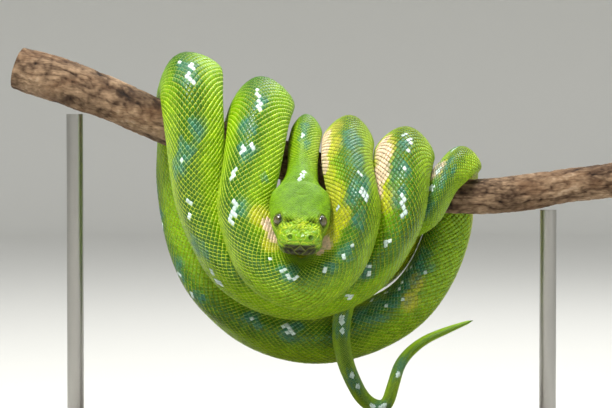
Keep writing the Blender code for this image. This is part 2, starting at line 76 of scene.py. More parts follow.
# %% [markdown]
# ## The camera
#
# The snake is seen from straight in front, a little from above. A long lens from 1.4 m away
# keeps the coils in their true proportions. The camera comes first, so that every piece can be
# looked at as soon as it is made.

# %% The camera
PICTURE = (612, 408)
METRES_PER_STEP = 0.0006  # what one step of the picture covers at the branch
CAMERA_DISTANCE = 1.4
CAMERA_RISE = math.radians(2)
CAMERA_TARGET = (0.0006, 0.0, 0.1606)
SENSOR = 36.0


def add_camera():
    data = bpy.data.cameras.new("camera")
    data.sensor_width = SENSOR
    data.lens = SENSOR * CAMERA_DISTANCE / (PICTURE[0] * METRES_PER_STEP)
    data.clip_start = 0.05
    camera = bpy.data.objects.new("camera", data)
    bpy.context.scene.collection.objects.link(camera)
    x, y, z = CAMERA_TARGET
    camera.location = (x, y - CAMERA_DISTANCE * math.cos(CAMERA_RISE),
                       z + CAMERA_DISTANCE * math.sin(CAMERA_RISE))
    camera.rotation_euler = (math.radians(90) - CAMERA_RISE, 0, 0)
    bpy.context.scene.camera = camera
    return data


print("lens:", round(add_camera().lens, 1), "mm")

# %% [markdown]
# ## The route of the body
#
# A snake is one long tube, so everything on it is placed by two numbers: the distance from the
# snout, and the angle around the body, counted from the ridge of the back. First we need the
# tube's centre line. The body crosses the top of the branch six times and hangs in a half turn
# between two crossings, in turn behind and in front. The table below is the one that the solid
# model was made from, in millimetres, so the skin lies exactly where the solids are.

# %% Where the branch and the body lie
BRANCH_HEIGHT = 184 * MM
BRANCH_AXIS = (
    (-172, 5, 58, 13.6),
    (-145, 1, 50, 14.2),
    (-112, -1, 37.5, 13.2),
    (-70, 0, 19.5, 13.0),
    (-28, 1, 8, 12.6),
    (3, 0, -2.5, 12.2),
    (32, 0, -11, 11.8),
    (64, -1, -16.5, 11.4),
    (97, 0, -19, 10.9),
    (128, 1, -17, 11.6),
    (160, 0, -12, 10.8),
    (192, -3, -8, 11.2),
)

# ---- where the body crosses the branch: X, body width and height, and the ridge's lean ----
CROSSINGS = {
    "neck": (1, 19.0, 17.5, 0.0),
    "inner_right": (25.5, 31.5, 25.5, 0.1),
    "inner_left": (-27, 39.0, 29.0, -0.1),
    "middle_right": (60.5, 36.5, 26.5, 0.1),
    "outer_left": (-72, 40.0, 28.0, -0.45),
    "outer_right": (93.5, 22.5, 18.0, 0.0),
}

# ---- the half turns, from the head to the tail, in mm ----
# side: -1 in front of the branch, +1 behind it.
# flanks: X, reach out from the branch's plane and level of the two hanging strands.
# bottom: the same three for the lowest stretch; full: how square the two corners are.
# girth and ridges: body width and height, and where the back's ridge points, on the first
# strand, at the bottom and on the second strand.
HALF_TURNS = (
    dict(start="neck", end="inner_right", side=1,
         flanks=((-5, 27, -8), (28, 27, -10)), bottom=(11, 31, -34), full=(1.35, 1.35),
         girth=((20.5, 18.5), (24.0, 21.5), (27.0, 24.0)),
         ridges=((0, 1, 0.2), (0, 1, 0.2), (0, 1, 0.2))),
    dict(start="inner_right", end="inner_left", side=-1,
         flanks=((27.5, 51.5, -22), (-32.5, 47, -24)), bottom=(-2, 51, -67), full=(1.05, 1.05),
         girth=((29.5, 26.5), (30.5, 28.5), (33.8, 29.0)),
         ridges=((0.15, -1, 0.1), (0, -0.93, 0.42), (-0.42, -0.9, 0.1))),
    dict(start="inner_left", end="middle_right", side=1,
         flanks=((-39, 29, -10), (62, 29, -26)), bottom=(14, 38, -68), full=(1.0, 1.0),
         girth=((34.5, 29.5), (34.5, 30.0), (34.5, 29.5)),
         ridges=((0, 1, 0.2), (0, 1, 0.5), (0, 1, 0.2))),
    dict(start="middle_right", end="outer_left", side=-1,
         flanks=((54, 36, -26), (-57.5, 28.5, -22)), bottom=(-4, 19, -74), full=(0.9, 0.95),
         girth=((33.5, 29.0), (34.0, 30.0), (34.0, 29.0)),
         ridges=((0.35, -0.95, 0.1), (0, -0.95, 0.3), (-0.45, -0.9, 0.1))),
    dict(start="outer_left", end="outer_right", side=1,
         flanks=((-77, 28.5, -11), (84.5, 26, -34)), bottom=(8, 14, -104), full=(1.1, 0.95),
         girth=((34.5, 29.0), (34.0, 29.5), (30.0, 26.5)),
         ridges=((-0.85, 0.35, 0.1), (0, -0.95, 0.1), (-0.75, -0.5, 0.45))),
)

# ---- the head: its snout tip, and how steeply it points down towards the front ----
SNOUT = (-2.8, -88.5, -45.5)
HEAD_PITCH = math.radians(38)
HEAD_ROLL = math.radians(3)
HEAD_LENGTH = 54 * MM
HEAD_PLAN = (
    # distance from the snout tip, half width at the lips, height over and under the axis,
    # squareness, and how much narrower the top is
    (0.0, 0.6, 0.5, 0.6, 2.0, 0.0),
    (0.8, 6.6, 3.8, 5.2, 2.2, 0.05),
    (2.2, 9.6, 5.6, 7.5, 2.5, 0.08),
    (4.5, 12.0, 7.0, 8.8, 2.7, 0.12),
    (8.0, 13.5, 7.7, 9.4, 2.7, 0.19),
    (12.0, 14.5, 7.8, 9.6, 2.7, 0.28),
    (16.0, 15.9, 7.7, 9.8, 2.6, 0.32),
    (19.5, 17.1, 8.2, 9.9, 2.5, 0.31),
    (23.0, 18.0, 8.8, 10.0, 2.4, 0.26),
    (28.0, 18.5, 9.3, 10.1, 2.3, 0.18),
    (34.0, 18.2, 9.8, 10.2, 2.3, 0.09),
    (40.0, 17.6, 10.0, 10.2, 2.2, 0.03),
    (46.0, 16.3, 9.8, 9.8, 2.1, 0.0),
    (51.0, 14.0, 9.4, 9.2, 2.0, 0.0),
    (56.0, 11.5, 9.0, 8.7, 2.0, 0.0),
    (62.0, 9.9, 8.7, 8.5, 2.0, 0.0),
)
HEAD_BUMPS = (
    # distance from the snout tip, out from the midline, up from the axis, spread, height
    (5.2, 7.0, 5.5, 4.0, 1.3),  # swollen sides of the nose
    (5.0, 0.0, 8.0, 2.6, -0.5),
    (13.5, 6.5, 7.0, 3.2, -1.3),  # hollow before the eye
    (20.5, 9.5, 8.0, 4.2, 1.3),  # brow
    (27.0, 0.0, 9.0, 4.5, -0.4),
    (38.0, 9.5, 8.0, 7.5, 1.3),  # temples
    (40.0, 0.0, 10.0, 5.0, -1.2),
)
EYE_PLACE = (20.5, 11.9, 3.4)  # back from the snout, out from the midline, up from the axis
EYE_RADIUS = 3.5 * MM

# ---- the neck and the tail, as places that the body passes: x, y, z, width, height ----
NECK_PLACES = ((-1.8, -31, -3, 18.5, 17.0), (-1.0, -17, 10.5, 18.5, 16.8))
TAIL_PLACES = (
    (78, -19.5, -6, 19.0, 17.0),
    (69, -21, -18, 17.0, 15.5),
    (58, -13, -31, 16.0, 14.8),
    (48, -3, -44, 14.8, 13.8),
    (35, 1, -61, 13.2, 12.6),
    (24, 0, -84, 11.8, 11.4),
    (22, -4, -106, 10.7, 10.3),
    (28, -10, -127, 9.6, 9.4),
    (38, -14, -142, 8.7, 8.5),
    (47, -17, -144, 8.0, 7.9),
    (52, -18, -132, 7.4, 7.3),
    (57, -18, -117, 6.7, 6.6),
    (69, -18, -105, 5.6, 5.5),
    (84, -17, -98, 4.2, 4.2),
    (100, -16, -92, 1.6, 1.6),
)

# ---- how a half turn's strands are shaped between a crossing and the lowest stretch ----
CORNER_BEND = math.radians(47)  # where on the corner's arc its place is taken
CORNER_REACH = 0.6  # share of the way from the flank's reach to the bottom's
SHOULDER_DROP = 0.66  # height of the shoulder over the branch's axis, against the flank's reach
SHOULDER_SHIFT = 0.3  # share of the way along the branch from the crossing to the flank
SHOULDER_REACH = (0.65, 0.15)  # shares of the branch's side and of the flank's reach

# ---- settling ----
STEP = 3.5 * MM  # spacing of the centre line's points
CLEARANCE = 0.4 * MM  # least gap between two coils
BARK = 1.1 * MM  # room for the bark's relief
ROUNDS = 420
LOOK_AGAIN = 12  # rounds between two searches for coils that lie close
LOOK_AROUND = 12 * MM
HEAD_HELD = 18 * MM  # length of neck over which the hold on the head fades
PRESS_SHARE = 0.35  # share of an overlap that one round takes away, between coils
LIFT_SHARE = 0.8  # and between a coil and the branch
PULL_BACK = 0.02  # pull towards the planned route in the first rounds
PULLED_ROUNDS = 0.6  # share of the rounds in which that pull works
SMOOTHED_ROUNDS = 0.8  # share of the rounds in which the line is smoothed much
SMOOTHING = (0.5, 0.1)  # how much it is smoothed in those rounds, and in the last ones
NEIGHBOURS = (1.35, 3)  # body sizes and steps along the body over which nothing is pushed
LEAST_STEPS = 4  # steps between two places that are ever compared
STRAIGHT = 20  # points of the head's centre line, which stay on their line
RIDGE_ROUNDS = 6  # how often the ridge's direction is smoothed

# ---- drawing the route ----
FINE_PLACES = 4000  # places on the curve before it is divided evenly
TIGHTNESS = 0.8  # the power of the way between two places with which the curve's stops grow
NECK_RIDGE = (0, -1.0, 0.9)
TAIL_LEAN = 0.8  # how far each place of the tail still leans, against the one before

# %% [markdown]
# ## A smooth curve through the places
#
# `through` is a cubic curve that passes every place and keeps its direction there. The same
# helper later serves for every table of sizes along the snake.

# %% Curves
def through(stops, values, at):
    """A smooth curve through values given at stops, read at the places in at."""
    stops = np.asarray(stops, float)
    values = np.asarray(values, float)
    flat = values.ndim == 1
    if flat:
        values = values[:, None]
    gaps = np.diff(stops)
    slopes = np.diff(values, axis=0) / gaps[:, None]
    tangents = np.empty_like(values)
    tangents[0], tangents[-1] = slopes[0], slopes[-1]
    before, after = gaps[:-1, None], gaps[1:, None]
    tangents[1:-1] = (slopes[:-1] * after + slopes[1:] * before) / (before + after)
    k = np.clip(np.searchsorted(stops, at, side="right") - 1, 0, len(gaps) - 1)
    width = gaps[k][:, None]
    u = ((np.asarray(at, float) - stops[k]) / gaps[k])[:, None]
    curve = (
        values[k] * (1 + 2 * u) * (1 - u) ** 2
        + tangents[k] * width * u * (1 - u) ** 2
        + values[k + 1] * u**2 * (3 - 2 * u)
        + tangents[k + 1] * width * u**2 * (u - 1)
    )
    return curve[:, 0] if flat else curve


def lengths_along(points):
    return np.concatenate([[0], np.cumsum(np.linalg.norm(np.diff(points, axis=0), axis=1))])


def ring_angles(count):
    return np.arange(count) * 2 * math.pi / count


def unit(vectors):
    return vectors / np.maximum(np.linalg.norm(vectors, axis=-1, keepdims=True), 1e-12)


def branch_at(x):
    """Centre, radius and direction of the branch at each X."""
    table = np.array(BRANCH_AXIS, float) * MM
    found = through(table[:, 0], table[:, 1:], x)
    centre = np.stack([x, found[:, 0], found[:, 1] + BRANCH_HEIGHT], axis=1)
    slope = (through(table[:, 0], table[:, 1:3], x + 1 * MM) - found[:, :2]) / MM
    return centre, found[:, 2], unit(np.column_stack([np.ones(len(x)), slope]))

# %% [markdown]
# ## From the table to a route
#
# Each half turn gets a shoulder, a flank and a corner on both sides of its lowest place. A
# designer could draw this curve by hand, but a formula keeps the five half turns alike.

# %% The planned route
def crossing_place(name):
    """Where the body's centre line lies on top of the branch, with its section and ridge."""
    x, width, height, lean = CROSSINGS[name]
    centre, radius, _ = branch_at(np.array([x * MM]))
    top = centre[0] + (0, 0, radius[0] + BARK + height / 2 * MM)
    return [*top, width * MM, height * MM, *unit(np.array([lean, 0, 1.0]))]


def half_turn_places(turn):
    """The places that one half turn passes between its two crossings."""
    side = turn["side"]
    low_x, low_reach, low_level = turn["bottom"]
    strands = []
    for index, end in enumerate(("start", "end")):
        cross_x, *cross_girth = CROSSINGS[turn[end]][:3]
        flank_x, reach, level = turn["flanks"][index]
        girth = np.array(turn["girth"][2 * index], float)
        ridge = unit(np.array(turn["ridges"][2 * index], float))
        centre, radius, _ = branch_at(np.array([cross_x * MM]))
        beside = (radius[0] + BARK) / MM + girth[1] / 2
        axis = (centre[0][2] - BRANCH_HEIGHT) / MM
        shoulder_reach = beside * SHOULDER_REACH[0] + reach * SHOULDER_REACH[1]
        shoulder = [cross_x + (flank_x - cross_x) * SHOULDER_SHIFT, side * shoulder_reach,
                    axis + beside * SHOULDER_DROP, *((girth + cross_girth) / 2),
                    *unit(np.array([0, side, 0.8]) + ridge * 0.2)]
        flank = [flank_x, side * reach, level, *girth, *ridge]
        out = math.cos(CORNER_BEND) ** (1 / turn["full"][index])
        down = math.sin(CORNER_BEND) ** (1 / turn["full"][index])
        corner_reach = reach + (low_reach - reach) * CORNER_REACH
        corner = [low_x + (flank_x - low_x) * out, side * corner_reach,
                  level + (low_level - level) * down,
                  *((girth + turn["girth"][1]) / 2), *unit(ridge + turn["ridges"][1])]
        strands.append([shoulder, flank, corner])
    bottom = [low_x, side * low_reach, low_level, *turn["girth"][1],
              *unit(np.array(turn["ridges"][1], float))]
    first, last = strands
    places = np.array([*first, bottom, *reversed(last)], float)
    places[:, :5] *= MM
    places[:, 2] += BRANCH_HEIGHT
    return places.tolist()


def head_places():
    """The straight centre line of the head, from the snout tip to its back."""
    back = np.array([0, math.cos(HEAD_PITCH), math.sin(HEAD_PITCH)])
    crown = [math.sin(HEAD_ROLL), -math.sin(HEAD_PITCH), math.cos(HEAD_PITCH)]
    tip = np.array(SNOUT) * MM + (0, 0, BRANCH_HEIGHT)
    places = []
    for share in (0, 0.25, 0.5, 0.75, 1):
        along = share * HEAD_LENGTH
        table = np.array(HEAD_PLAN, float)
        wide, over, under = through(table[:, 0], table[:, 1:4], np.array([along / MM]))[0]
        places.append([*(tip + back * along), 2 * wide * MM, (over + under) * MM, *crown])
    return places


def route():
    """Centre line, section width and height, and ridge direction, from snout to tail tip."""
    places = head_places()
    for x, y, z, width, height in NECK_PLACES:
        places.append([x * MM, y * MM, z * MM + BRANCH_HEIGHT, width * MM, height * MM,
                       *unit(np.array(NECK_RIDGE))])
    places.append(crossing_place("neck"))
    landmarks = {"neck": len(places) - 1}
    for number, turn in enumerate(HALF_TURNS, start=1):
        middle = len(places) + 3
        places += half_turn_places(turn)
        landmarks[f"turn_{number}"] = middle
        places.append(crossing_place(turn["end"]))
        landmarks[turn["end"]] = len(places) - 1
    for number, (x, y, z, width, height) in enumerate(TAIL_PLACES):
        lean = TAIL_LEAN ** (1 + number)
        ridge = unit(np.array([0.5 * lean, -1, lean]))
        places.append([x * MM, y * MM, z * MM + BRANCH_HEIGHT, width * MM, height * MM, *ridge])
    places = np.array(places, float)
    stops = np.concatenate([[0], np.cumsum(
        np.linalg.norm(np.diff(places[:, :3], axis=0), axis=1) ** TIGHTNESS)])
    fine_stops = np.linspace(0, stops[-1], FINE_PLACES)
    fine = through(stops, places, fine_stops)
    distance = lengths_along(fine[:, :3])
    count = int(distance[-1] / STEP) + 1
    at = np.linspace(0, distance[-1], count)
    even = np.stack([np.interp(at, distance, column) for column in fine.T], axis=1)
    marks = {name: float(np.interp(stops[i], fine_stops, distance)) / distance[-1]
             for name, i in landmarks.items()}
    return even, marks

# %% [markdown]
# ## Settling the coils
#
# The planned coils would press into each other. Real coils are soft and slide until they only
# touch. The loop below does the same: it pushes apart every two places that are too close, and
# lifts the body off the branch. To know how close two coils are, it needs the shape of the
# body's section, and how that section is turned at every place.

# %% The body's section and how it is turned
SECTION_PLACES = 28


def frames(points, ridges):
    """Unit vectors at each point: along the body, towards the ridge and to the side."""
    along = unit(np.gradient(points, axis=0))
    ridge = ridges - along * np.sum(ridges * along, axis=1, keepdims=True)
    ridge = unit(ridge)
    for _ in range(RIDGE_ROUNDS):
        ridge[1:-1] = ridge[:-2] + 2 * ridge[1:-1] + ridge[2:]
        ridge = unit(ridge - along * np.sum(ridge * along, axis=1, keepdims=True))
    return along, ridge, np.cross(along, ridge)


def body_unit(theta):
    """A body section of width and height 1: a rounded triangle, ridge up, belly flat."""
    across = np.sin(theta) * (1 - 0.15 * np.cos(theta))
    up = np.cos(theta) + 0.1 * np.cos(2 * theta) + 0.03 * np.cos(3 * theta) - 0.1
    return across / 2.02, up / 2.06


def support(width, height, sideways, upward):
    """How far sections of these sizes reach towards a direction."""
    across, up = body_unit(ring_angles(SECTION_PLACES))
    return np.max(across[:, None] * (width * sideways) + up[:, None] * (height * upward), axis=0)


print("a section of the body reaches up:", round(float(body_unit(np.array([0.0]))[1][0]), 3))

# %% [markdown]
# Two forces move the body. `coil_push` measures the gap between places that lie near each other
# and moves both apart by a share of what is lacking. `branch_lift` does the same against the
# branch, which doesn't give way.

# %% What pushes the coils
def coil_push(body, place, i, j, ridge, side):
    """How far each place is pushed off the coils beside it, and the largest overlap."""
    width, height = body[:, 3], body[:, 4]
    gap = place[i] - place[j]
    span = np.linalg.norm(gap, axis=1)
    way = gap / span[:, None]
    need = CLEARANCE + support(width[i], height[i], -(way * side[i]).sum(axis=1),
                               -(way * ridge[i]).sum(axis=1))
    need += support(width[j], height[j], (way * side[j]).sum(axis=1),
                    (way * ridge[j]).sum(axis=1))
    press = np.maximum(need - span, 0)
    push = np.zeros_like(place)
    hits = np.zeros(len(place))
    for ends, sign in ((i, 1), (j, -1)):
        np.add.at(push, ends, sign * way * press[:, None])
        np.add.at(hits, ends, press > 0)
    push /= np.sqrt(np.maximum(hits, 1))[:, None]
    return PRESS_SHARE * push, float(press.max(initial=0.0))


def branch_lift(body, place, ridge, side):
    """How far each place is lifted out of the branch."""
    centre, radius, forward = branch_at(place[:, 0])
    out = place - centre
    out -= forward * (out * forward).sum(axis=1)[:, None]
    off = np.linalg.norm(out, axis=1)
    out = out / off[:, None]
    mine = support(body[:, 3], body[:, 4], -(out * side).sum(axis=1),
                   -(out * ridge).sum(axis=1))
    lack = np.maximum(radius + BARK + mine + CLEARANCE / 2 - off, 0)
    return LIFT_SHARE * out * lack[:, None]


def distant_pairs(size):
    """All pairs of places that aren't simply neighbours along the body."""
    first, second = np.triu_indices(len(size), k=LEAST_STEPS)
    sizes, steps = NEIGHBOURS
    apart = sizes * (size[first] + size[second]) / 2 + steps * STEP
    counts = (second - first) * STEP > apart
    return first[counts], second[counts]


plan, _ = route()
print("pairs of places to watch:", len(distant_pairs(plan[:, 3:5].max(axis=1))[0]))

# %% [markdown]
# Each round adds up both forces and smooths the line. The head stays where it is, and in the
# first rounds everything is also drawn a little towards the planned route. The result is one
# table of the body, read by the distance from the snout from here on.

# %% The settled centre line
def settle(body):
    """Moves the centre line until no two coils, and no coil and the branch, are too close."""
    wanted = body[:, :3].copy()
    place = wanted.copy()
    size = body[:, 3:5].max(axis=1)
    free = np.clip((np.arange(len(body)) * STEP - HEAD_LENGTH) / HEAD_HELD, 0, 1)[:, None]
    first, second = distant_pairs(size)
    for turn in range(ROUNDS):
        if turn % LOOK_AGAIN == 0:
            span = np.linalg.norm(place[first] - place[second], axis=1)
            close = span < (size[first] + size[second]) / 2 + LOOK_AROUND
        _, ridge, side = frames(place, body[:, 5:8])
        push, worst = coil_push(body, place, first[close], second[close], ridge, side)
        place = place + free * (push + branch_lift(body, place, ridge, side))
        if turn < ROUNDS * PULLED_ROUNDS:
            place = place + free * PULL_BACK * (wanted - place)
        shift = place - wanted
        smooth = shift.copy()
        smooth[1:-1] = (shift[:-2] + 2 * shift[1:-1] + shift[2:]) / 4
        blend = SMOOTHING[turn >= ROUNDS * SMOOTHED_ROUNDS]
        place = wanted + shift * (1 - blend) + smooth * blend
    body = body.copy()
    body[:, :3] = place
    return body, worst


def even_body():
    """The settled body as one table over the distance from the snout tip."""
    body, marks = route()
    body, worst = settle(body)
    print("the closest coils press by", round(worst / MM, 2), "mm")
    for _ in range(2):
        middle = body[STRAIGHT - 1:-2, :3]
        body[STRAIGHT:-3, :3] = (middle[:-2] + 2 * middle[1:-1] + middle[2:]) / 4
    distance = lengths_along(body[:, :3])
    along, ridge, side = frames(body[:, :3], body[:, 5:8])
    table = np.column_stack([body[:, :3], ridge, side, body[:, 3:5]])
    marks = {name: share * distance[-1] for name, share in marks.items()}
    return distance, table, marks, along


DISTANCE, BODY, MARKS, ALONG = even_body()
LENGTH = DISTANCE[-1]
print("body length:", round(LENGTH, 3), "m")

# %% [markdown]
# ## The surface as a function
#
# With the centre line known, any place on the snake is a formula: `surface` takes distances
# from the snout and angles around the body and returns points. The body's section is a rounded
# triangle with its ridge up and its belly flat. The head has its own table of sections, and the
# two are blended behind the jaws.

# %% The snake's surface
HEAD_BLEND = 48  # mm from the snout, where the head's section starts to become the body's
HEAD_END = HEAD_PLAN[-1][0]
HEAD_TABLE = np.array(HEAD_PLAN, float)
TIP_ROUND = 5 * MM  # the tail's last length, which draws in to a rounded point


def ease(value):
    """0 below 0, 1 above 1, and a soft step between them."""
    value = np.clip(value, 0, 1)
    return value * value * (3 - 2 * value)


def bell(distance, spread):
    return np.exp(-((distance / spread) ** 2))


def head_section(at, theta):
    """The head's own section, across and up, in mm, for distances from the snout tip in mm."""
    wide, over, under, square, taper = through(HEAD_TABLE[:, 0], HEAD_TABLE[:, 1:], at).T
    sine, cosine = np.sin(theta), np.cos(theta)
    across = np.sign(sine) * np.abs(sine) ** (2 / square) * wide
    across = across * (1 - taper * (1 + cosine) / 2)
    up = np.sign(cosine) * np.abs(cosine) ** (2 / square)
    up = np.where(up > 0, up * over, up * under)
    distance = np.maximum(np.hypot(across, up), 0.1)
    grow = np.zeros_like(across)
    for back, out, level, spread, height in HEAD_BUMPS:
        away = (at - back) ** 2 + (np.abs(across) - out) ** 2 + (up - level) ** 2
        grow += height * np.exp(-away / spread**2)
    return across * (1 + grow / distance), up * (1 + grow / distance)


def section(at, theta, width, height):
    """Across and up, in mm, of places at distances and angles, for these body sizes."""
    left = np.clip((LENGTH - at) / TIP_ROUND, 0, 1)
    drawn_in = np.sqrt(left * (2 - left)) / MM
    across, up = body_unit(theta)
    across, up = across * width * drawn_in, up * height * drawn_in
    back = at / MM
    on_head = back < HEAD_END
    if on_head.any():
        share = ease((back[on_head] - HEAD_BLEND) / (HEAD_END - HEAD_BLEND))
        head_across, head_up = head_section(back[on_head], theta[on_head])
        across[on_head] = head_across * (1 - share) + across[on_head] * share
        up[on_head] = head_up * (1 - share) + up[on_head] * share
    return across, up


def surface(at, theta):
    """Points on the snake, for distances from the snout and angles from the ridge."""
    found = through(DISTANCE, BODY, at)
    ridge, side = unit(found[:, 3:6]), unit(found[:, 6:9])
    across, up = section(at, theta, found[:, 9], found[:, 10])
    return found[:, :3] + (across[:, None] * side + up[:, None] * ridge) * MM


def slopes(at, theta):
    """How the surface runs at each place: along, around, and straight out of it."""
    near, turn = 0.1 * MM, 0.004
    before = np.maximum(at - near, 0.05 * MM)
    along = (surface(at + near, theta) - surface(before, theta)) / (at + near - before)[:, None]
    around = (surface(at, theta + turn) - surface(at, theta - turn)) / (2 * turn)
    return along, around, unit(np.cross(around, along))


check = slopes(np.array([0.9]), np.array([0.0]))
print("outwards is out:", float(check[2][0] @ unit(through(DISTANCE, BODY, [0.9])[0, 3:6])) > 0)

# %% [markdown]
# ## Calculating with sockets
#
# A finish is a small calculation that runs at every point of a surface. Written as nodes it is
# long, so one little class wraps a socket and lets us add, multiply and mix sockets as if they
# were numbers. Every other node comes from its one `node` method.

# %% Sockets as numbers
class Wire:
    """A socket in a material's tree, which can be calculated with."""

    def __init__(self, tree, socket=None):
        self.tree, self.socket = tree, socket

    def node(self, kind, settings=None, sockets=None, output=0):
        """Adds a node: first its settings, then the values or links of its sockets."""
        made = self.tree.nodes.new("ShaderNode" + kind)
        for name, value in (settings or {}).items():
            setattr(made, name, value)
        for name, value in (sockets or {}).items():
            if isinstance(value, Wire):
                self.tree.links.new(value.socket, made.inputs[name])
            else:
                made.inputs[name].default_value = value
        return Wire(self.tree, made.outputs[output])

    def maths(self, operation, *values):
        return self.node("Math", {"operation": operation}, dict(enumerate(values)))

    def between(self, low, high):
        """0 where this is under low, 1 where it is over high, and soft between."""
        return self.node("MapRange", {"interpolation_type": "SMOOTHSTEP"},
                         {"Value": self, "From Min": low, "From Max": high})

    def mix(self, first, second):
        """The first colour where this is 0, the second where it is 1."""
        return self.node("Mix", {"data_type": "RGBA"}, {0: self, 6: first, 7: second}, output=2)

    def times(self, first, second):
        """One colour multiplied by another."""
        return self.node("Mix", {"data_type": "RGBA", "blend_type": "MULTIPLY"},
                         {0: 1.0, 6: first, 7: second}, output=2)

    def attribute(self, name):
        return self.node("Attribute", {"attribute_name": name}, output=2)

    def places(self, stretch=(1, 1, 1), turn=(0, 0, 0)):
        """Places on the piece in metres, stretched or turned for a pattern."""
        return self.node("Mapping", None, {
            "Vector": self.node("TexCoord", output=3), "Scale": stretch, "Rotation": turn})

    def noise(self, places, scale, detail=2.0, rough=0.5, distortion=0.0):
        return self.node("TexNoise", None, {"Vector": places, "Scale": scale, "Detail": detail,
                                            "Roughness": rough, "Distortion": distortion})

    def bump(self, height, depth, strength=1.0):
        """A relief of this depth in metres."""
        return self.node("Bump", None, {"Height": height, "Distance": depth,
                                        "Strength": strength})


def operator(operation, reflected):
    def calculate(self, other):
        pair = (other, self) if reflected else (self, other)
        return self.maths(operation, *pair)
    return calculate


for sign, operation in (("add", "ADD"), ("sub", "SUBTRACT"), ("mul", "MULTIPLY")):
    setattr(Wire, f"__{sign}__", operator(operation, False))
    setattr(Wire, f"__r{sign}__", operator(operation, True))


def colour(red, green, blue):
    """A colour given as it looks on a screen, 0 to 255, as the shader wants it."""
    return (*(((part / 255 + 0.055) / 1.055) ** 2.4 if part > 10 else part / 3295
              for part in (red, green, blue)), 1.0)


def finish(name, draw, constants):
    """A material: constants go straight onto the shader, draw adds what changes over it."""
    made = bpy.data.materials.new(name)
    made.use_nodes = True
    shader = made.node_tree.nodes["Principled BSDF"]
    for socket, value in constants.items():
        shader.inputs[socket].default_value = value
    for socket, wire in draw(Wire(made.node_tree)).items():
        made.node_tree.links.new(wire.socket, shader.inputs[socket])
    return made


print("a test colour:", [round(part, 3) for part in colour(150, 196, 16)])

# %% [markdown]
# ## What is marked where
#
# Seen from the side, a green tree python is deep green along the ridge of its back, yellow
# green on its flanks, and turns yellow and then cream towards the belly. White scales stand in
# small groups along the back, with patches of blue-green scales around them. On the inner flanks
# of some coils the green fades to yellow and to a pinkish cream. First come the tables of where
# these groups lie. Lengths that nobody sees from the front get groups of the same kind by chance.

# %% Where the groups lie
# groups of white scales, a few of them painted highlights: distance from the snout in mm, degrees
# from the ridge, radius in mm
WHITE_AND_HIGHLIGHT_GROUPS = (
    # the groups at 837 and 841 mm are painted highlights on top of a coil; those along the crest
    # from 336 to 381 mm are white scales with a painted highlight along them
    (91, -4, 1.5), (410, 1, 2.6), (405, -7, 2.2), (400.5, -12, 2.0), (381, -4, 1.8),
    (366, -5, 1.8), (359, -8, 1.6), (335.6, -16, 3.0), (340, 58, 1.9), (326, -15, 1.6),
    (524, -1, 2.0), (519.5, 3, 2.6), (515, 8, 2.4), (511, 11, 2.4), (487, -4, 2.4),
    (489, 16, 2.2), (474, -9, 2.4), (470, -11, 1.8), (458, 8, 2.6), (454.5, 2, 2.6),
    (451, -11, 2.8), (421, 16, 1.6), (1120, 14, 2.2), (1117, 19, 2.0), (1113.5, 4, 2.6),
    (1110, 9, 2.2), (1124, -6, 2.0), (1049, 3, 2.1), (1040.5, -10, 2.1), (1072, -14, 1.8),
    (1009, -52, 2.4), (1003, -66, 2.4), (837, 2, 2.6), (841, -10, 2.6), (848, -4, 2.0),
    (870.8, 15, 1.9), (874.6, 14, 1.9), (878.2, 10, 1.9), (893, 14, 1.9), (912, 1, 2.0),
    (915, -14, 2.4), (933, -51, 1.9), (858, 3, 1.7), (1527, 30, 2.4), (1556, 46, 2.2),
    (1565, 47, 2.4), (1575, 40, 1.8), (1438, -13, 1.8), (1434.7, -27, 2.0), (1440, 31, 1.7),
    (1425, -12, 1.7), (1412, -40, 2.1), (1420, -6, 1.8), (1418, 19, 2.1), (1408, 0, 1.8),
    (1401, -48, 1.9), (54, 4, 1.8), (57.5, 10, 2.0), (51.5, -3, 1.6),
)
# patches of blue-green scales: the same, with a longer radius
TEAL = (
    (300, -12, 13), (316, -19, 10), (330, -20, 9), (336, 14, 8), (345, -4, 7), (364, 0, 8),
    (378, -2, 6), (406, 4, 9), (456, 20, 8), (475, 60, 4), (487, 5, 9), (500, -12, 9),
    (516, 12, 8), (857, 22, 10), (870, 28, 9), (845, 6, 6), (915, -6, 9), (1022, -39, 9),
    (1075, -8, 11), (1068, -24, 9), (1088, 20, 8), (1117, 4, 12), (1150, 6, 10),
    (1392, -20, 12), (1403, -20, 16), (1418, -14, 17), (1432, -8, 16), (1444, 4, 12),
    (1520, 18, 10), (1556, 40, 13), (1575, 30, 10), (97, -3, 6), (91, 2, 6), (85, 18, 5),
)
# areas of the left flank where the green fades to a pinkish cream, in the same way
BLUSH = (
    (282, 78, 12), (296, 80, 13), (307, 82, 9), (366, 64, 9), (376, 58, 6), (434, 66, 8),
    (443, 72, 7), (834, 58, 10), (845, 56, 13), (857, 66, 13), (868, 74, 8), (1555, 62, 9),
)
# areas that fade to yellow and no further
GOLDEN = (
    (284, 54, 14), (300, 54, 14), (318, 78, 12), (332, 68, 13), (345, 56, 12), (358, 60, 10),
    (430, 56, 11), (450, 58, 10), (872, 60, 12), (1431, 20, 8), (1420, 34, 8),
)
GOLDEN_DEPTH = 0.36  # how far such an area is on its way to the cream
UNSEEN = ((140, 270), (560, 820), (1160, 1385), (1600, 1780))
UNSEEN_EVERY = 26.0
UNSEEN_WHITE = 2.1  # radius
rng = np.random.default_rng(7)


def unseen_groups():
    """More groups of the same kind on the lengths that hang behind the branch."""
    whites, teals = [], []
    for start, end in UNSEEN:
        for at in np.arange(start, end, UNSEEN_EVERY):
            at, turn = at + rng.uniform(-6, 6), rng.uniform(-16, 16)
            teals.append((at, turn, rng.uniform(6, 11)))
            for _ in range(rng.integers(1, 4)):
                whites.append((at + rng.uniform(-5, 5), turn + rng.uniform(-8, 8),
                               UNSEEN_WHITE))
    return WHITE_AND_HIGHLIGHT_GROUPS + tuple(whites), TEAL + tuple(teals)


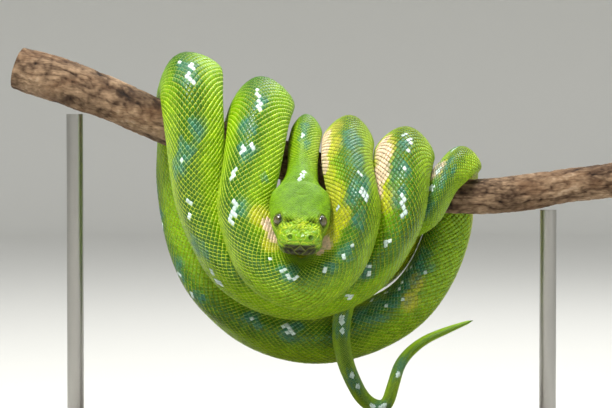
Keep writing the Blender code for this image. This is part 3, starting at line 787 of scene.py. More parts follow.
ALL_WHITE_AND_HIGHLIGHT_GROUPS, ALL_TEAL = unseen_groups()
print("groups of white scales:", len(ALL_WHITE_AND_HIGHLIGHT_GROUPS), "of blue-green scales:", len(ALL_TEAL))

# %% [markdown]
# The skin and the scales must agree, so the markings are functions of the place on the body,
# and both read them. Every marking is a number between 0 and 1 that the finish turns into
# colour. The bands along the body are counted from the ridge, 0, to the middle of the belly, 1.

# %% The markings
BANDS = {"ridge": (0.07, 0.25), "pale": (0.56, 0.24), "belly": (0.74, 0.18)}  # start and width
BAND_WAVER = 0.03
GROUP_EDGE = 0.12  # how deep in its group a scale must lie to be white


def covered(groups, at, theta, half_width):
    """How deep each place lies in the nearest group: 1 at its middle, 0 at its edge."""
    deepest = np.zeros_like(at)
    for middle, degrees, radius in groups:
        near = np.abs(at - middle * MM) < radius * MM
        off = np.hypot((at[near] - middle * MM) / MM,
                       (theta[near] - math.radians(degrees)) * half_width[near] / MM)
        deepest[near] = np.maximum(deepest[near], 1 - off / radius)
    return deepest


def mottle(at, theta, size):
    """A slow uneven pattern between -1 and 1, for edges that aren't drawn with a ruler."""
    x, y = at / size, theta * 16 * MM / size
    return (np.sin(x + 1.7 * np.sin(0.63 * y + 1)) + np.sin(1.31 * y + 2.1 * np.sin(0.47 * x))
            + np.sin(0.83 * x - 1.13 * y + 4)) / 3


def markings(at, theta):
    """Everything that the finish needs to know about these places, by name."""
    theta = (theta + math.pi) % (2 * math.pi) - math.pi
    half_width = through(DISTANCE, BODY[:, 9], at) / 2
    low = np.abs(theta) / math.pi + BAND_WAVER * mottle(at, theta, 9 * MM)
    band = {name: ease((low - start) / width) for name, (start, width) in BANDS.items()}
    back = at / MM
    teal = covered(ALL_TEAL, at, theta, half_width)
    teal = ease(1.7 * teal + 0.7 * mottle(at, theta, 2.2 * MM) * (teal > 0) - 0.1)
    blush = covered(BLUSH, at, theta, half_width)
    blush = ease(1.5 * blush + 0.25 * mottle(at, theta, 3 * MM) * (blush > 0))
    golden = GOLDEN_DEPTH * ease(1.8 * covered(GOLDEN, at, theta, half_width))
    white = covered(ALL_WHITE_AND_HIGHLIGHT_GROUPS, at, theta, half_width) > GROUP_EDGE
    head_patches = 0.4 * (0.5 + 0.5 * mottle(at, theta, 1.6 * MM)) * (1 - ease((back - 50) / 40))
    return {
        "ridge": (1 - band["ridge"]) * (0.25 + 0.75 * ease((back - 60) / 60)) + head_patches,
        "belly": band["belly"] * ease((back - 40) / 60),
        "pale": band["pale"] * ease((back - 70) / 60),
        "blush": np.maximum(blush, golden),
        "teal": teal * ease((back - 55) / 20),
        "white": white.astype(float),
    }


sample = markings(np.array([0.9]), np.array([0.0]))
print("on the ridge at mid body:", {name: round(float(v[0]), 2) for name, v in sample.items()})

# %% [markdown]
# ## The finish of the hide
#
# Snake skin is not one colour, and no two scales are quite alike. The finish mixes the body's
# colours by the markings, gives every scale its own small shift, and adds a fine grain. It paints
# a highlight on the free edges of the scales, which makes them much lighter, as where the light
# catches and passes through those thin edges. These painted highlights draw the net that one
# sees on the coils. The head's slit, pits, nostrils, creases and eye rims get a painted shade.
# Scales are smooth and slightly glossy, so the roughness stays low. The skin between them is
# duller and a little darker.

# %% The finish of skin and scales
HIDE = {
    "ridge": colour(54, 106, 0), "flank": colour(126, 172, 0), "pale": colour(184, 198, 4),
    # the white also paints a few highlights
    "belly": colour(214, 206, 112), "teal": colour(40, 108, 90), "white": colour(206, 226, 224),
    # the lips' olive is partly their own tone and partly painted shade; the darkest colour is
    # painted shade in the head's slit, pits, nostrils, creases and eye rims
    "lip": colour(44, 44, 12), "dark": colour(14, 14, 3), "gold": colour(214, 202, 10),
    "blush": colour(240, 210, 184),
}
# painted highlights: the free edges of scales and plates are made lighter, as where they catch the
# light and let it through
RIM_HIGHLIGHT = {"green": colour(222, 232, 70), "teal": colour(150, 206, 176),
       "blush": colour(248, 226, 200)}
RIM_HIGHLIGHT_SHARE = 0.72  # how much of its light colour the rim of a scale takes on
GOLD_SHARE, TEAL_SHARE = 0.6, 0.78
DARKER, LIGHTER = (0.72, 0.76, 0.7, 1), (1.16, 1.12, 1.1, 1)  # between these, scale by scale
SKIN_SHADE = (0.78, 0.74, 0.55, 1)


def hide_colours(w):
    """The colour of the hide, from the markings."""
    ridge, blush, teal = (w.attribute(name) for name in ("ridge", "blush", "teal"))
    grain = w.noise(w.places(), 900.0, 3.0)
    base = ridge.mix(HIDE["flank"], HIDE["ridge"])
    base = (w.attribute("pale") * (1 - ridge)).mix(base, HIDE["pale"])
    base = w.attribute("belly").mix(base, HIDE["belly"])
    base = (blush.between(0.0, 0.45) * GOLD_SHARE).mix(base, HIDE["gold"])
    base = blush.between(0.3, 0.9).mix(base, HIDE["blush"])
    base = (teal * TEAL_SHARE).mix(base, HIDE["teal"])
    # painted highlight on the free edges, tinted by the colour beneath
    rim_highlight = blush.mix(teal.mix(RIM_HIGHLIGHT["green"], RIM_HIGHLIGHT["teal"]), RIM_HIGHLIGHT["blush"])
    base = (w.attribute("rim").between(0.25, 1.0) * RIM_HIGHLIGHT_SHARE).mix(base, rim_highlight)
    # then, in turn: the lips' olive with its painted shade, the white, and the painted shade of
    # the head's slit, pits, nostrils, creases and eye rims
    for name in ("lip", "white", "dark"):
        base = w.attribute(name).mix(base, HIDE[name])
    lighter = (w.attribute("tint") * 0.5 + 0.5 + (grain - 0.5) * 0.5).between(0.0, 1.0)
    return w.times(base, lighter.mix(DARKER, LIGHTER)), grain


def draw_scales(w):
    base, grain = hide_colours(w)
    dark = w.attribute("dark")
    return {"Base Color": base, "Roughness": 0.28 + 0.14 * grain + 0.45 * dark,
            "Coat Weight": 0.12 - 0.12 * dark, "Normal": w.bump(grain, 0.00004)}


def draw_skin(w):
    base, grain = hide_colours(w)
    wrinkles = w.node("TexVoronoi", {"feature": "DISTANCE_TO_EDGE"},
                      {"Vector": w.places(), "Scale": 1500.0})
    return {"Base Color": w.times(base, SKIN_SHADE), "Roughness": 0.45 + 0.15 * grain,
            "Normal": w.bump(wrinkles.between(0.0, 0.2), 0.00006)}


SCALES = finish("scales", draw_scales, {"Specular IOR Level": 0.36, "Coat Roughness": 0.16})
SKIN = finish("snake_skin", draw_skin, {"Specular IOR Level": 0.3})
print("finishes:", SCALES.name, SKIN.name)

# %% [markdown]
# ## Finding a level on the head
#
# The lips follow the mouth, so their plates are placed by how high they sit. `angle_at_level`
# turns a height into the angle around the head that the surface formula wants.

# %% Places along the lips
MOUTH_BACK = 38.0  # how far back the mouth is slit, in mm
MOUTH_LEVEL = (-6.5, -5.6)  # height of the slit at the snout and at its corner
LOOK_UP = np.linspace(0, math.pi, 361)
LIP_REACH, LIP_PLACES = 37, 300  # mm back from the snout, and places on the curve of a lip


def mouth_level(back):
    return MOUTH_LEVEL[0] + (MOUTH_LEVEL[1] - MOUTH_LEVEL[0]) * np.clip(back / MOUTH_BACK, 0, 1)


def angle_at_level(back, level):
    """The angle around the head, on its + side, where its surface is at this height."""
    back = np.atleast_1d(np.asarray(back, float))
    level = np.broadcast_to(level, back.shape)
    rows = np.repeat(back, len(LOOK_UP))
    _, up = head_section(rows, np.tile(LOOK_UP, len(back)))
    up = up.reshape(len(back), -1)
    return np.array([np.interp(-wanted, -row, LOOK_UP)
                     for wanted, row in zip(level, up, strict=True)])


def lip_point(run, rise):
    """The head place at a way along the lip from the midline, and a rise over the mouth, in mm."""
    back = 0.25 + LIP_REACH * np.linspace(0, 1, LIP_PLACES) ** 2
    theta = angle_at_level(back, mouth_level(back) + rise)
    ways = lengths_along(surface(back * MM, theta)) / MM
    back, theta = (np.interp([abs(run)], ways, part) for part in (back, theta))
    across, up = head_section(back, theta)
    return np.array((back[0], across[0] * (1 if run > 0 else -1), up[0]))


# where one lip plate ends and the next begins, in mm along the lip, and how high they reach
UPPER_CUTS = np.concatenate([[4.5, 7.9], np.linspace(11.2, 38.2, 9)])
UPPER_TOPS = np.interp(UPPER_CUTS, (4, 8, 12, 20, 38), (7.0, 7.2, 6.6, 5.0, 3.3))
LOWER_CUTS = np.linspace(1.9, 35.0, 12)
SNOUT_PIT = (2.2, 3.2, 0.95)  # way along the lip, rise over the mouth, radius
LIP_PITS = (  # cuts, which plate, rise, radius
    (UPPER_CUTS, 0, 3.9, 1.35), (UPPER_CUTS, 1, 3.7, 1.2), (UPPER_CUTS, 2, 3.3, 1.0),
    *((LOWER_CUTS, index, -1.5, 0.6) for index in (6, 7, 8, 9)),
)


def pit_places():
    """The pits that feel warmth: at the snout, in the first lip plates, and far back below."""
    places = [(*lip_point(*SNOUT_PIT[:2]), SNOUT_PIT[2])]
    for cuts, index, rise, radius in LIP_PITS:
        places.append((*lip_point((cuts[index] + cuts[index + 1]) / 2, rise), radius))
    return places


PITS = pit_places()
print("pits on each side of the mouth:", len(PITS))

# %% [markdown]
# ## The head's soft forms
#
# The sections give the head its block shape. What makes it a python's head lies on top: the
# slit of the mouth, the pits that feel warmth, the nostrils, the rim around each eye, the hollow
# and the folds in front of it, and the groove where the head ends. Each is a small push in or
# out, given where it lies on the head: back from the snout tip, out from the midline and up from
# the axis, in mm. The same numbers give a painted shade: the colour is darkened in the slit, the
# pits, the nostrils, the creases and round the eyes, where shade falls.

# %% The head's relief
NOSTRIL = (2.9, 5.9, 5.9)
NOSTRIL_RADIUS = 1.0
FOLDS = (
    # back, out, up, spread back, spread out, depth
    (16.6, 7.2, 7.0, 1.15, 3.3, -1.7), (13.6, 4.6, 7.3, 0.7, 2.2, -0.7),
    (11.5, 0.0, 7.5, 4.5, 0.7, -0.7), (24.5, 0.0, 9.0, 6.0, 0.6, -0.3),
    (9.2, 8.6, 5.5, 0.8, 2.6, -0.8), (37.0, 0.0, 9.7, 0.8, 4.0, -0.8),
    (14.0, 13.6, 0.6, 4.2, 2.6, -0.9),
    (21.0, 9.4, 8.0, 3.2, 2.0, 0.7), (1.6, 6.4, 3.2, 1.2, 1.4, 0.3),
    (10.5, 4.6, 7.2, 2.2, 1.6, 0.45), (15.4, 2.4, 7.6, 1.6, 1.4, 0.35),
    (28.0, 5.5, 9.4, 2.6, 2.0, 0.35), (12.5, 9.5, 5.0, 2.0, 1.4, 0.3),
)
FOLD_SPREAD_UP = 3
DEPTH = {"slit": 0.8, "nostril": 2.6, "pit": 1.3, "chin": 1.3, "nape": 1.4}
# how much painted shade each feature lays on the colour
SHADE = {"slit": 1.3, "nostril": 1.8, "pit": 1.2, "crease": 0.42, "eye": 0.6}
RINGS = {  # raised or sunk rings: their height, and their distance from a rim and spread
    "nostril": ((0.25, 1.8, 0.5),),
    "eye": ((0.3, 1.0, 0.5), (-0.3, 2.2, 0.7)),
}
SLIT_SPREAD = 0.36
NAPE, NAPE_SPREAD = 50.5, 2.8  # the groove across the neck behind the head


def away_from(place, back, out, up):
    return np.sqrt((back - place[0]) ** 2 + (out - place[1]) ** 2 + (up - place[2]) ** 2)


def head_relief(back, out, up):
    """How far the skin stands out, in mm, and how much painted shade darkens its colour, at places
    in the head.
    """
    out = np.abs(out)
    slit = bell(up - mouth_level(back), SLIT_SPREAD) * ease((MOUTH_BACK + 1 - back) / 2)
    off = {"nostril": away_from(NOSTRIL, back, out, up),
           "eye": away_from(EYE_PLACE, back, out, up) - EYE_RADIUS / MM}
    nostril = bell(off["nostril"], NOSTRIL_RADIUS)
    chin = ease((mouth_level(back) - up) / 0.8) * ease((10 - back) / 9)
    nape = bell(back - NAPE, NAPE_SPREAD) * ease(up / 6)
    pits = np.zeros_like(back)
    for *place, radius in PITS:
        pits = np.maximum(pits, bell(away_from(place, back, out, up), radius))
    push = -(DEPTH["slit"] * slit + DEPTH["nostril"] * nostril + DEPTH["pit"] * pits
             + DEPTH["chin"] * chin + DEPTH["nape"] * nape)
    for name, rings in RINGS.items():
        for height, distance, spread in rings:
            push += height * bell(off[name] - distance, spread)
    creases = np.zeros_like(back)
    for fold_back, fold_out, fold_up, along, across, depth in FOLDS:
        gap = ((back - fold_back) / along) ** 2 + ((out - fold_out) / across) ** 2
        fold = depth * np.exp(-gap - ((up - fold_up) / FOLD_SPREAD_UP) ** 2)
        push += fold
        creases += np.maximum(-fold, 0)
    # painted shade: the colour darkens in the slit, nostrils, pits, creases and round the eyes,
    # where shade falls
    dark = (SHADE["slit"] * slit + SHADE["nostril"] * nostril + SHADE["pit"] * pits
            + SHADE["crease"] * creases + SHADE["eye"] * bell(off["eye"] - 0.3, 0.7))
    return push, np.clip(dark, 0, 1)


found, _ = head_relief(np.array([2.9, 20.0]), np.array([5.9, 0.0]), np.array([5.9, 8.0]))
print("relief at a nostril and on the crown:", found.round(2), "mm")

# %% [markdown]
# ## How long a scale is
#
# Scales are smallest on the crown, larger on the snout, and largest where the body is thickest.
# Their length sets their thickness too, and so how deep the skin lies under the true surface.

# %% The length of a scale
PITCH = 3.3 * MM  # length of a scale where the body is thickest
FULL_WIDTH, LEAST_WIDTH = 35 * MM, 4.5 * MM
PITCH_POWER = 0.7  # scales shrink less than the body does
HEAD_PITCHES = (  # distance from the snout and length, in mm
    (0, 1.9), (7, 2.1), (13, 2.2), (18, 1.6), (26, 1.35), (40, 1.5), (60, 1.9), (90, 2.2),
)
SCALE_HEIGHT = 0.125  # of a scale's length


def pitch_at(at):
    """The length of a scale at each distance from the snout."""
    width = through(DISTANCE, BODY[:, 9], at)
    on_body = PITCH * (np.maximum(width, LEAST_WIDTH) / FULL_WIDTH) ** PITCH_POWER
    table = np.array(HEAD_PITCHES)
    on_head = np.interp(at / MM, table[:, 0], table[:, 1]) * MM
    share = ease((at / MM - 60) / 30)
    return on_head * (1 - share) + on_body * share


print("length of a scale on the crown and at mid body:",
      (pitch_at(np.array([0.026, 0.9])) / MM).round(2), "mm")

# %% [markdown]
# ## From the body's formula to the skin
#
# The skin lies under the true surface by the thickness of the scales, and on the head the relief
# is added to it. The scales are built on the same function, with a lift of their own, so they
# follow every fold. `show` puts a finished mesh in the scene, and `hide_object` first gives it
# the markings, as one number per corner for each of them.

# %% The skin's places
FINE_HEAD = 62 * MM  # how far back the head's relief reaches
MARKS_ON_MESH = ("ridge", "belly", "pale", "blush", "teal", "white", "lip", "dark", "rim",
                 "tint")


def skin_surface(at, theta, lift=0.0):
    """Points of the skin, or of what lies over it by lift, and their painted shade."""
    _, _, outward = slopes(at, theta)
    points = surface(at, theta) + outward * (lift - SCALE_HEIGHT * pitch_at(at))[:, None]
    dark = np.zeros_like(at)
    on_head = at < FINE_HEAD
    if on_head.any():
        found = through(DISTANCE, BODY, at[on_head])
        across, up = section(at[on_head], theta[on_head], found[:, 9], found[:, 10])
        push, shade = head_relief(at[on_head] / MM, across, up)
        points[on_head] += outward[on_head] * push[:, None] * MM
        dark[on_head] = shade
    return points, dark, outward


def in_scene(name, mesh, material):
    mesh.materials.append(material)
    mesh.shade_smooth()
    thing = bpy.data.objects.new(name, mesh)
    bpy.context.scene.collection.objects.link(thing)
    return thing


def show(name, mesh, material):
    """Adds a finished mesh to the scene as a piece of the model."""
    piece = in_scene(name, mesh, material)
    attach(piece, "root")
    return piece


def hide_object(name, mesh, values, material):
    """Puts markings on a mesh of the hide and adds it to the scene."""
    for key in MARKS_ON_MESH:
        data = mesh.attributes.new(key, "FLOAT", "POINT").data
        data.foreach_set("value", values.get(key, np.zeros(len(data))).astype(np.float32))
    return show(name, mesh, material)


def lip_shade(back, out, up):
    """The lips are a darker olive, most of all in the middle of the snout: partly their own tone,
    partly painted shade.
    """
    off = up - mouth_level(back)
    front = ease((11.5 - np.abs(out)) / 4) * ease((8 - back) / 4)
    band = ease((off + 4.5) / 1.0) * ease((3.6 + 6.2 * front - off) / 1.6)
    return band * (0.16 + 0.82 * front) * ease((36 - back) / 6)


def head_lip_shade(at, theta):
    back = np.minimum(at / MM, HEAD_END - 1)
    return lip_shade(back, *head_section(back, theta))


depth = np.linalg.norm(skin_surface(np.array([0.9]), np.array([0.0]))[0]
                       - surface(np.array([0.9]), np.array([0.0])))
print("the skin lies", round(float(depth) / MM, 2), "mm deep at mid body")

# %% [markdown]
# ## One skin
#
# The skin is a flat grid first: one direction runs from the snout to the tail, the other once
# around the body. On the flat grid it is easy to make the face finer, by subdividing its faces
# twice. Then every corner moves to its place on the snake, and the two long edges are welded
# along the belly. A UV map lays it out in four strips, so that a texture of it has room.

# %% The skin
AROUND = 88
BODY_STEP, HEAD_STEP = 3.6 * MM, 1.0 * MM
FINE_FACE = 25 * MM
FIRST, LAST = 0.1 * MM, LENGTH - 0.3 * MM
STRIPS, STRIP_RIM = 4, 0.03  # in the skin's UV map
MAP_RIM = 0.005


def read_mesh(name, shape):
    """A mesh made from a bmesh, and the places of its corners."""
    mesh = bpy.data.meshes.new(name)
    shape.to_mesh(mesh)
    shape.free()
    places = np.empty(len(mesh.vertices) * 3)
    mesh.vertices.foreach_get("co", places)
    return mesh, places.reshape(-1, 3)


def weld(mesh, saw_edge=0):
    """Joins corners that lie on each other and closes the ends, with an edge if wanted."""
    shape = bmesh.new()
    shape.from_mesh(mesh)
    bmesh.ops.remove_doubles(shape, verts=shape.verts, dist=0.001 * MM)
    rims = [edge for edge in shape.edges if edge.is_boundary]
    caps = bmesh.ops.holes_fill(shape, edges=rims)["faces"]
    if saw_edge:
        bmesh.ops.inset_region(shape, faces=caps, thickness=saw_edge)
    bmesh.ops.recalc_face_normals(shape, faces=shape.faces)
    shape.to_mesh(mesh)
    shape.free()


def flat_grid():
    """A grid 1 long and 1 wide, whose head end is finer; its length is a share of the rows."""
    head_rows = round((FINE_HEAD - FIRST) / HEAD_STEP)
    body_rows = round((LAST - FINE_HEAD) / BODY_STEP)
    rows = head_rows + body_rows
    sheet = bmesh.new()
    bmesh.ops.create_grid(sheet, x_segments=rows, y_segments=AROUND, size=0.5)
    face_rows = round((FINE_FACE - FIRST) / HEAD_STEP)
    for end in (head_rows, face_rows):
        finer = [f for f in sheet.faces if f.calc_center_median().x + 0.5 < end / rows]
        edges = list({edge for face in finer for edge in face.edges})
        bmesh.ops.subdivide_edges(sheet, edges=edges, cuts=1, use_grid_fill=True)
    return sheet, np.array([0, head_rows, rows]) / rows


def unroll_skin(mesh, flat, stops):
    """The skin's UV map: the flat grid, cut into strips that lie side by side."""
    corners = np.empty(len(mesh.loops), np.int32)
    mesh.loops.foreach_get("vertex_index", corners)
    middles = np.empty(len(mesh.polygons) * 3)
    mesh.polygons.foreach_get("center", middles)
    totals = np.empty(len(mesh.polygons), np.int32)
    mesh.polygons.foreach_get("loop_total", totals)
    at, middle = (np.interp(x, stops, (FIRST, FINE_HEAD, LAST))
                  for x in (flat[:, 0], middles.reshape(-1, 3)[:, 0] + 0.5))
    strip = np.repeat(np.minimum(middle / LAST * STRIPS, STRIPS - 1).astype(int), totals)
    u = at[corners] / LAST * STRIPS - strip
    v = (strip + STRIP_RIM + (1 - 2 * STRIP_RIM) * flat[corners, 1]) / STRIPS
    layer = mesh.uv_layers.new(name="OFBake")
    layer.data.foreach_set(
        "uv", np.column_stack([MAP_RIM + (1 - 2 * MAP_RIM) * u, v]).ravel())


def make_skin():
    """The skin as one piece, from the snout to the tail."""
    sheet, stops = flat_grid()
    mesh, flat = read_mesh("skin", sheet)
    flat = flat + 0.5
    unroll_skin(mesh, flat, stops)
    at = np.interp(flat[:, 0], stops, (FIRST, FINE_HEAD, LAST))
    theta = (flat[:, 1] * 2 - 1) * math.pi
    points, dark, _ = skin_surface(at, theta)
    mesh.vertices.foreach_set("co", points.ravel())
    values = markings(at, theta)
    values.update(dark=dark, lip=head_lip_shade(at, theta), tint=0.3 * mottle(at, theta, 3 * MM))
    skin = hide_object("skin", mesh, values, SKIN)
    weld(mesh)
    return skin


FLESH = [name for name in frame["nodes"] if not name.startswith(("eye", "branch", "stand"))]
skin = make_skin()
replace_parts(skin, *FLESH)
print("skin:", len(skin.data.polygons), "faces in place of", len(FLESH), "solids")

# %% [markdown]
# ## A scale
#
# A real scale is a small plate of horn, tucked under the one before it and free at its rear
# edge. Ours is a diamond of eight corners with four more on its back, which make it slightly
# domed, and one below the skin, which closes it. On the head the scales are round grains. The
# two shapes have the same corners, so one can fade into the other along the neck.

# %% One scale, as corners and faces
# length (front to rear), width and height over the skin, in scale lengths and widths
DIAMOND = np.array((
    (0.62, 0.0, 0.095), (0.38, 0.27, 0.08), (0.02, 0.475, 0.045), (-0.36, 0.3, 0.0),
    (-0.56, 0.0, -0.03), (-0.36, -0.3, 0.0), (0.02, -0.475, 0.045), (0.38, -0.27, 0.08),
    (0.33, 0.0, 0.125), (0.02, 0.25, 0.125), (-0.28, 0.0, 0.075), (0.02, -0.25, 0.125),
    (-0.1, 0.0, -0.16),
))
GRAIN = np.array((
    (0.5, 0.0, 0.03), (0.36, 0.33, 0.01), (0.0, 0.46, 0.0), (-0.36, 0.33, -0.02),
    (-0.48, 0.0, -0.03), (-0.36, -0.33, -0.02), (0.0, -0.46, 0.0), (0.36, -0.33, 0.01),
    (0.24, 0.0, 0.125), (0.0, 0.23, 0.125), (-0.22, 0.0, 0.1), (0.0, -0.23, 0.125),
    (0.0, 0.0, -0.2),
))
SCALE_FACES = np.array(
    [(i, (i + 1) % 8, 8 + ((i + 1) // 2) % 4) for i in range(8)]
    + [(2 * i + 1, 8 + (i + 1) % 4, 8 + i) for i in range(4)]
    + [(8, 9, 10), (8, 10, 11)]
    + [((i + 1) % 8, i, 12) for i in range(8)])[:, ::-1]
SCALE_RIM = np.array([1.0] * 4 + [0.3] + [1.0] * 3 + [0.0] * 5)


def many(name, points, faces, uvs, values, material):
    """One mesh from many copies of a shape: points is copies x corners x 3."""
    copies, corners = points.shape[:2]
    mesh = bpy.data.meshes.new(name)
    mesh.vertices.add(copies * corners)
    mesh.vertices.foreach_set("co", points.ravel())
    triangles = faces + corners * np.arange(copies)[:, None, None]
    triangles = triangles.reshape(-1, 3)
    mesh.loops.add(triangles.size)
    mesh.loops.foreach_set("vertex_index", triangles.ravel().astype(np.int32))
    mesh.polygons.add(len(triangles))
    starts = np.arange(0, triangles.size, 3, dtype=np.int32)
    mesh.polygons.foreach_set("loop_start", starts)
    layer = mesh.uv_layers.new(name="OFBake")
    layer.data.foreach_set("uv", uvs.reshape(-1, 2)[triangles.ravel()].ravel())
    mesh.update(calc_edges=True)
    return hide_object(name, mesh, {key: value.ravel() for key, value in values.items()},
                       material)


print("a scale has", len(DIAMOND), "corners and", len(SCALE_FACES), "faces")

# %% [markdown]
# ## Pressing plates onto the head
#
# The snout, the lips and the rims of the eyes carry larger plates. Each is drawn flat, as a
# rounded outline in millimetres, and then pressed onto the skin like a piece of soft clay: from
# every corner of the plate a line runs inwards until it meets the skin. So a plate follows the
# nostril, the pits and the curve of the snout, and only its rim and its bulge are its own.

# %% A pressed plate
PLATE_SIDES = 24
PLATE_RINGS = (  # size and height over the skin, in mm
    (1.0, -0.35), (0.98, 0.12), (0.93, 0.3), (0.78, 0.42), (0.56, 0.47), (0.36, 0.48),
    (0.2, 0.48), (0.09, 0.48),
)
PLATE_REACH = 5 * MM
PLATE_PATCH = 0.00075  # size of a millimetre in the UV map
CORNER_CUT = 0.14  # how much of a side its rounded corners take
HEAD_REACH = 40 * MM  # from the middle of the head to the last skin that a plate may meet

tip = through(DISTANCE, BODY, [0.0])[0]
HEAD_AXES = np.array([ALONG[0], unit(tip[6:9]), unit(tip[3:6])])  # back, out, up


def from_head(places):
    """World places of head places: back from the snout, out and up, in mm."""
    return tip[:3] + np.asarray(places, float) @ HEAD_AXES * MM


def to_head(points):
    return (points - tip[:3]) @ HEAD_AXES.T / MM


def outline(corners):
    """A polygon with its corners rounded, as evenly spaced points."""
    points = np.array(corners, float)
    after, before = np.roll(points, -1, axis=0), np.roll(points, 1, axis=0)
    sides = [(1 - CORNER_CUT) * points + CORNER_CUT * other for other in (before, after)]
    points = np.hstack([sides[0], 0.96 * points + 0.02 * (before + after),
                        sides[1]]).reshape(-1, 2)
    closed = np.vstack([points, points[:1]])
    run = lengths_along(closed)
    wanted = np.arange(PLATE_SIDES) / PLATE_SIDES * run[-1]
    return np.column_stack([np.interp(wanted, run, closed[:, i]) for i in (0, 1)])


def skin_tree():
    """The skin of the head, to find where a line meets it."""
    mesh = skin.data
    middle = from_head((30, 0, 0))
    near = [tuple(face.vertices) for face in mesh.polygons
            if np.linalg.norm(np.array(face.center) - middle) < HEAD_REACH]
    return BVHTree.FromPolygons([vert.co for vert in mesh.vertices], near)


SKIN_TREE = skin_tree()


def plate(corners, shrink=0.97):
    """A plate from its corners on the head, in mm, given round it in either direction."""
    corners = from_head(corners)
    middle = corners.mean(axis=0)
    off = corners - middle
    outward = unit(np.cross(off, np.roll(off, -1, axis=0)).sum(axis=0))
    if outward @ (middle - from_head((12, 0, 0))) < 0:
        off, outward = off[::-1], -outward
    upright = unit(HEAD_AXES[2] - outward * (HEAD_AXES[2] @ outward))
    rightward = np.cross(upright, outward)
    flat = np.column_stack([off @ rightward, off @ upright]) * shrink / MM
    return middle, outward, rightward, upright, outline(flat)


def plate_corners(made):
    """Where the corners of a plate come to lie on the head."""
    middle, outward, rightward, upright, shape = made
    flat = [(x * size, y * size) for size, _ in PLATE_RINGS for x, y in shape]
    flat += [(0, 0), (0, 0)]
    heights = np.array([height for _, height in PLATE_RINGS for _ in shape]
                       + [PLATE_RINGS[-1][1], -1.0])
    hits, leans = [], []
    for x, y in flat:
        start = middle + (rightward * x + upright * y) * MM + outward * PLATE_REACH
        hit, normal, _, _ = SKIN_TREE.ray_cast(start, -outward, 3 * PLATE_REACH)
        if hit is None:
            hit, normal, _, _ = SKIN_TREE.find_nearest(start - outward * PLATE_REACH)
        hits.append(hit)
        leans.append(unit(np.array(normal) + 2 * outward))
    hits = np.array(hits)
    _, dark = head_relief(*to_head(hits).T)
    heights = np.where(heights > 0, heights * (1 - 0.9 * dark), heights)
    return hits + np.array(leans) * heights[:, None] * MM


def ring_faces():
    """The faces between the rings of a plate, and over its middle and its underside."""
    faces = []
    last = (len(PLATE_RINGS) - 1) * PLATE_SIDES
    for i in range(PLATE_SIDES):
        j = (i + 1) % PLATE_SIDES
        for start in range(0, last, PLATE_SIDES):
            inner = start + PLATE_SIDES
            faces += [(start + i, start + j, inner + j), (start + i, inner + j, inner + i)]
        faces += [(last + i, last + j, last + PLATE_SIDES), (j, i, last + PLATE_SIDES + 1)]
    return np.array(faces)


def under(made, points, share=0.93):
    """True for points that the plate covers."""
    middle, outward, rightward, upright, shape = made
    off = (points - middle) / MM
    x, y = off @ rightward, off @ upright
    turn = np.arctan2(shape[:, 1], shape[:, 0])
    edge = np.interp(np.arctan2(y, x), turn, np.hypot(*shape.T), period=2 * math.pi)
    return (np.hypot(x, y) < share * edge) & (np.abs(off @ outward) < 5)


def lay_plates(name, plates):
    """One piece from many plates, with the markings of the hide."""
    points = np.array([plate_corners(made) for made in plates])
    copies, corners = points.shape[:2]
    back, out, up = to_head(points.reshape(-1, 3)).T
    _, dark = head_relief(back, out, up)
    # the rims of the plates take the painted highlight
    rim = np.tile(np.arange(corners) < 3 * PLATE_SIDES, copies) * 1.0
    # the lips' olive, partly painted shade, is weaker on the plates' rims
    values = {"dark": dark, "rim": 0.8 * rim, "lip": lip_shade(back, out, up) * (1 - 0.25 * rim),
              "tint": np.repeat(rng.normal(0, 0.35, copies), corners),
              "ridge": np.repeat(rng.uniform(0, 0.5, copies), corners)}
    patch = np.column_stack([(np.arange(copies) + 0.5) / copies, np.full(copies, 0.5)])
    flat = np.concatenate([plates[0][4] * size for size, _ in PLATE_RINGS] + [np.zeros((2, 2))])
    uvs = patch[:, None] + flat[None] * PLATE_PATCH
    return many(name, points, ring_faces(), uvs, values, SCALES)


print("corners of a plate:", len(PLATE_RINGS) * PLATE_SIDES + 2)

# %% [markdown]
# ## The plates of the snout and the lips
#
# From the front: the rostral plate closes the snout like a keystone, with a pit on either side.
# Beside it the row of upper lip plates begins, the first ones tall and pitted. Above them lie
# the nose plates around the nostrils. Neighbours share their corners, so they fit like tiles.
# Places at the lips are given along the lip. Each pair is written once and mirrored.

# %% Lip plates
def both(corners):
    """The plate and its mirror image."""
    corners = np.array(corners)
    return [plate(corners), plate(corners * (1, -1, 1))]


def lip_row(cuts, edge, tops, leans):
    """A row of plates along the lip, from the slit of the mouth up or down to their tops."""
    plates = []
    for i in range(len(cuts) - 1):
        plates += both([lip_point(cuts[i], edge), lip_point(cuts[i + 1], edge),
                        lip_point(cuts[i + 1] + leans[i + 1], tops[i + 1]),
                        lip_point(cuts[i] + leans[i], tops[i])])
    return plates


upper = lip_row(UPPER_CUTS, 0.3, UPPER_TOPS, [-2.1] + [0.0] * (len(UPPER_CUTS) - 1))
lower = lip_row(LOWER_CUTS, -0.3, [-2.9] * len(LOWER_CUTS), [0.0] * len(LOWER_CUTS))
middle = [
    plate([lip_point(*place) for place in ((-4.5, 0.3), (4.5, 0.3), (3.4, 4.4), (0.9, 10.6),
                                           (-0.9, 10.6), (-3.4, 4.4))]),
    plate([lip_point(*place) for place in ((-1.9, -0.3), (1.9, -0.3), (1.2, -2.9),
                                           (-1.2, -2.9))]),
]
print("plates on the lips:", len(upper), "above,", len(lower), "below,", len(middle), "in front")

# %% [markdown]
# ## The plates of the nose
#
# The front of the snout is too round for places along the lip. Here a place is given as seen
# from inside the snout, by how far to the side and how far up one looks, in degrees.

# %% Nose plates
NOSE_CENTRE = (8.0, 0.0, 0.0)


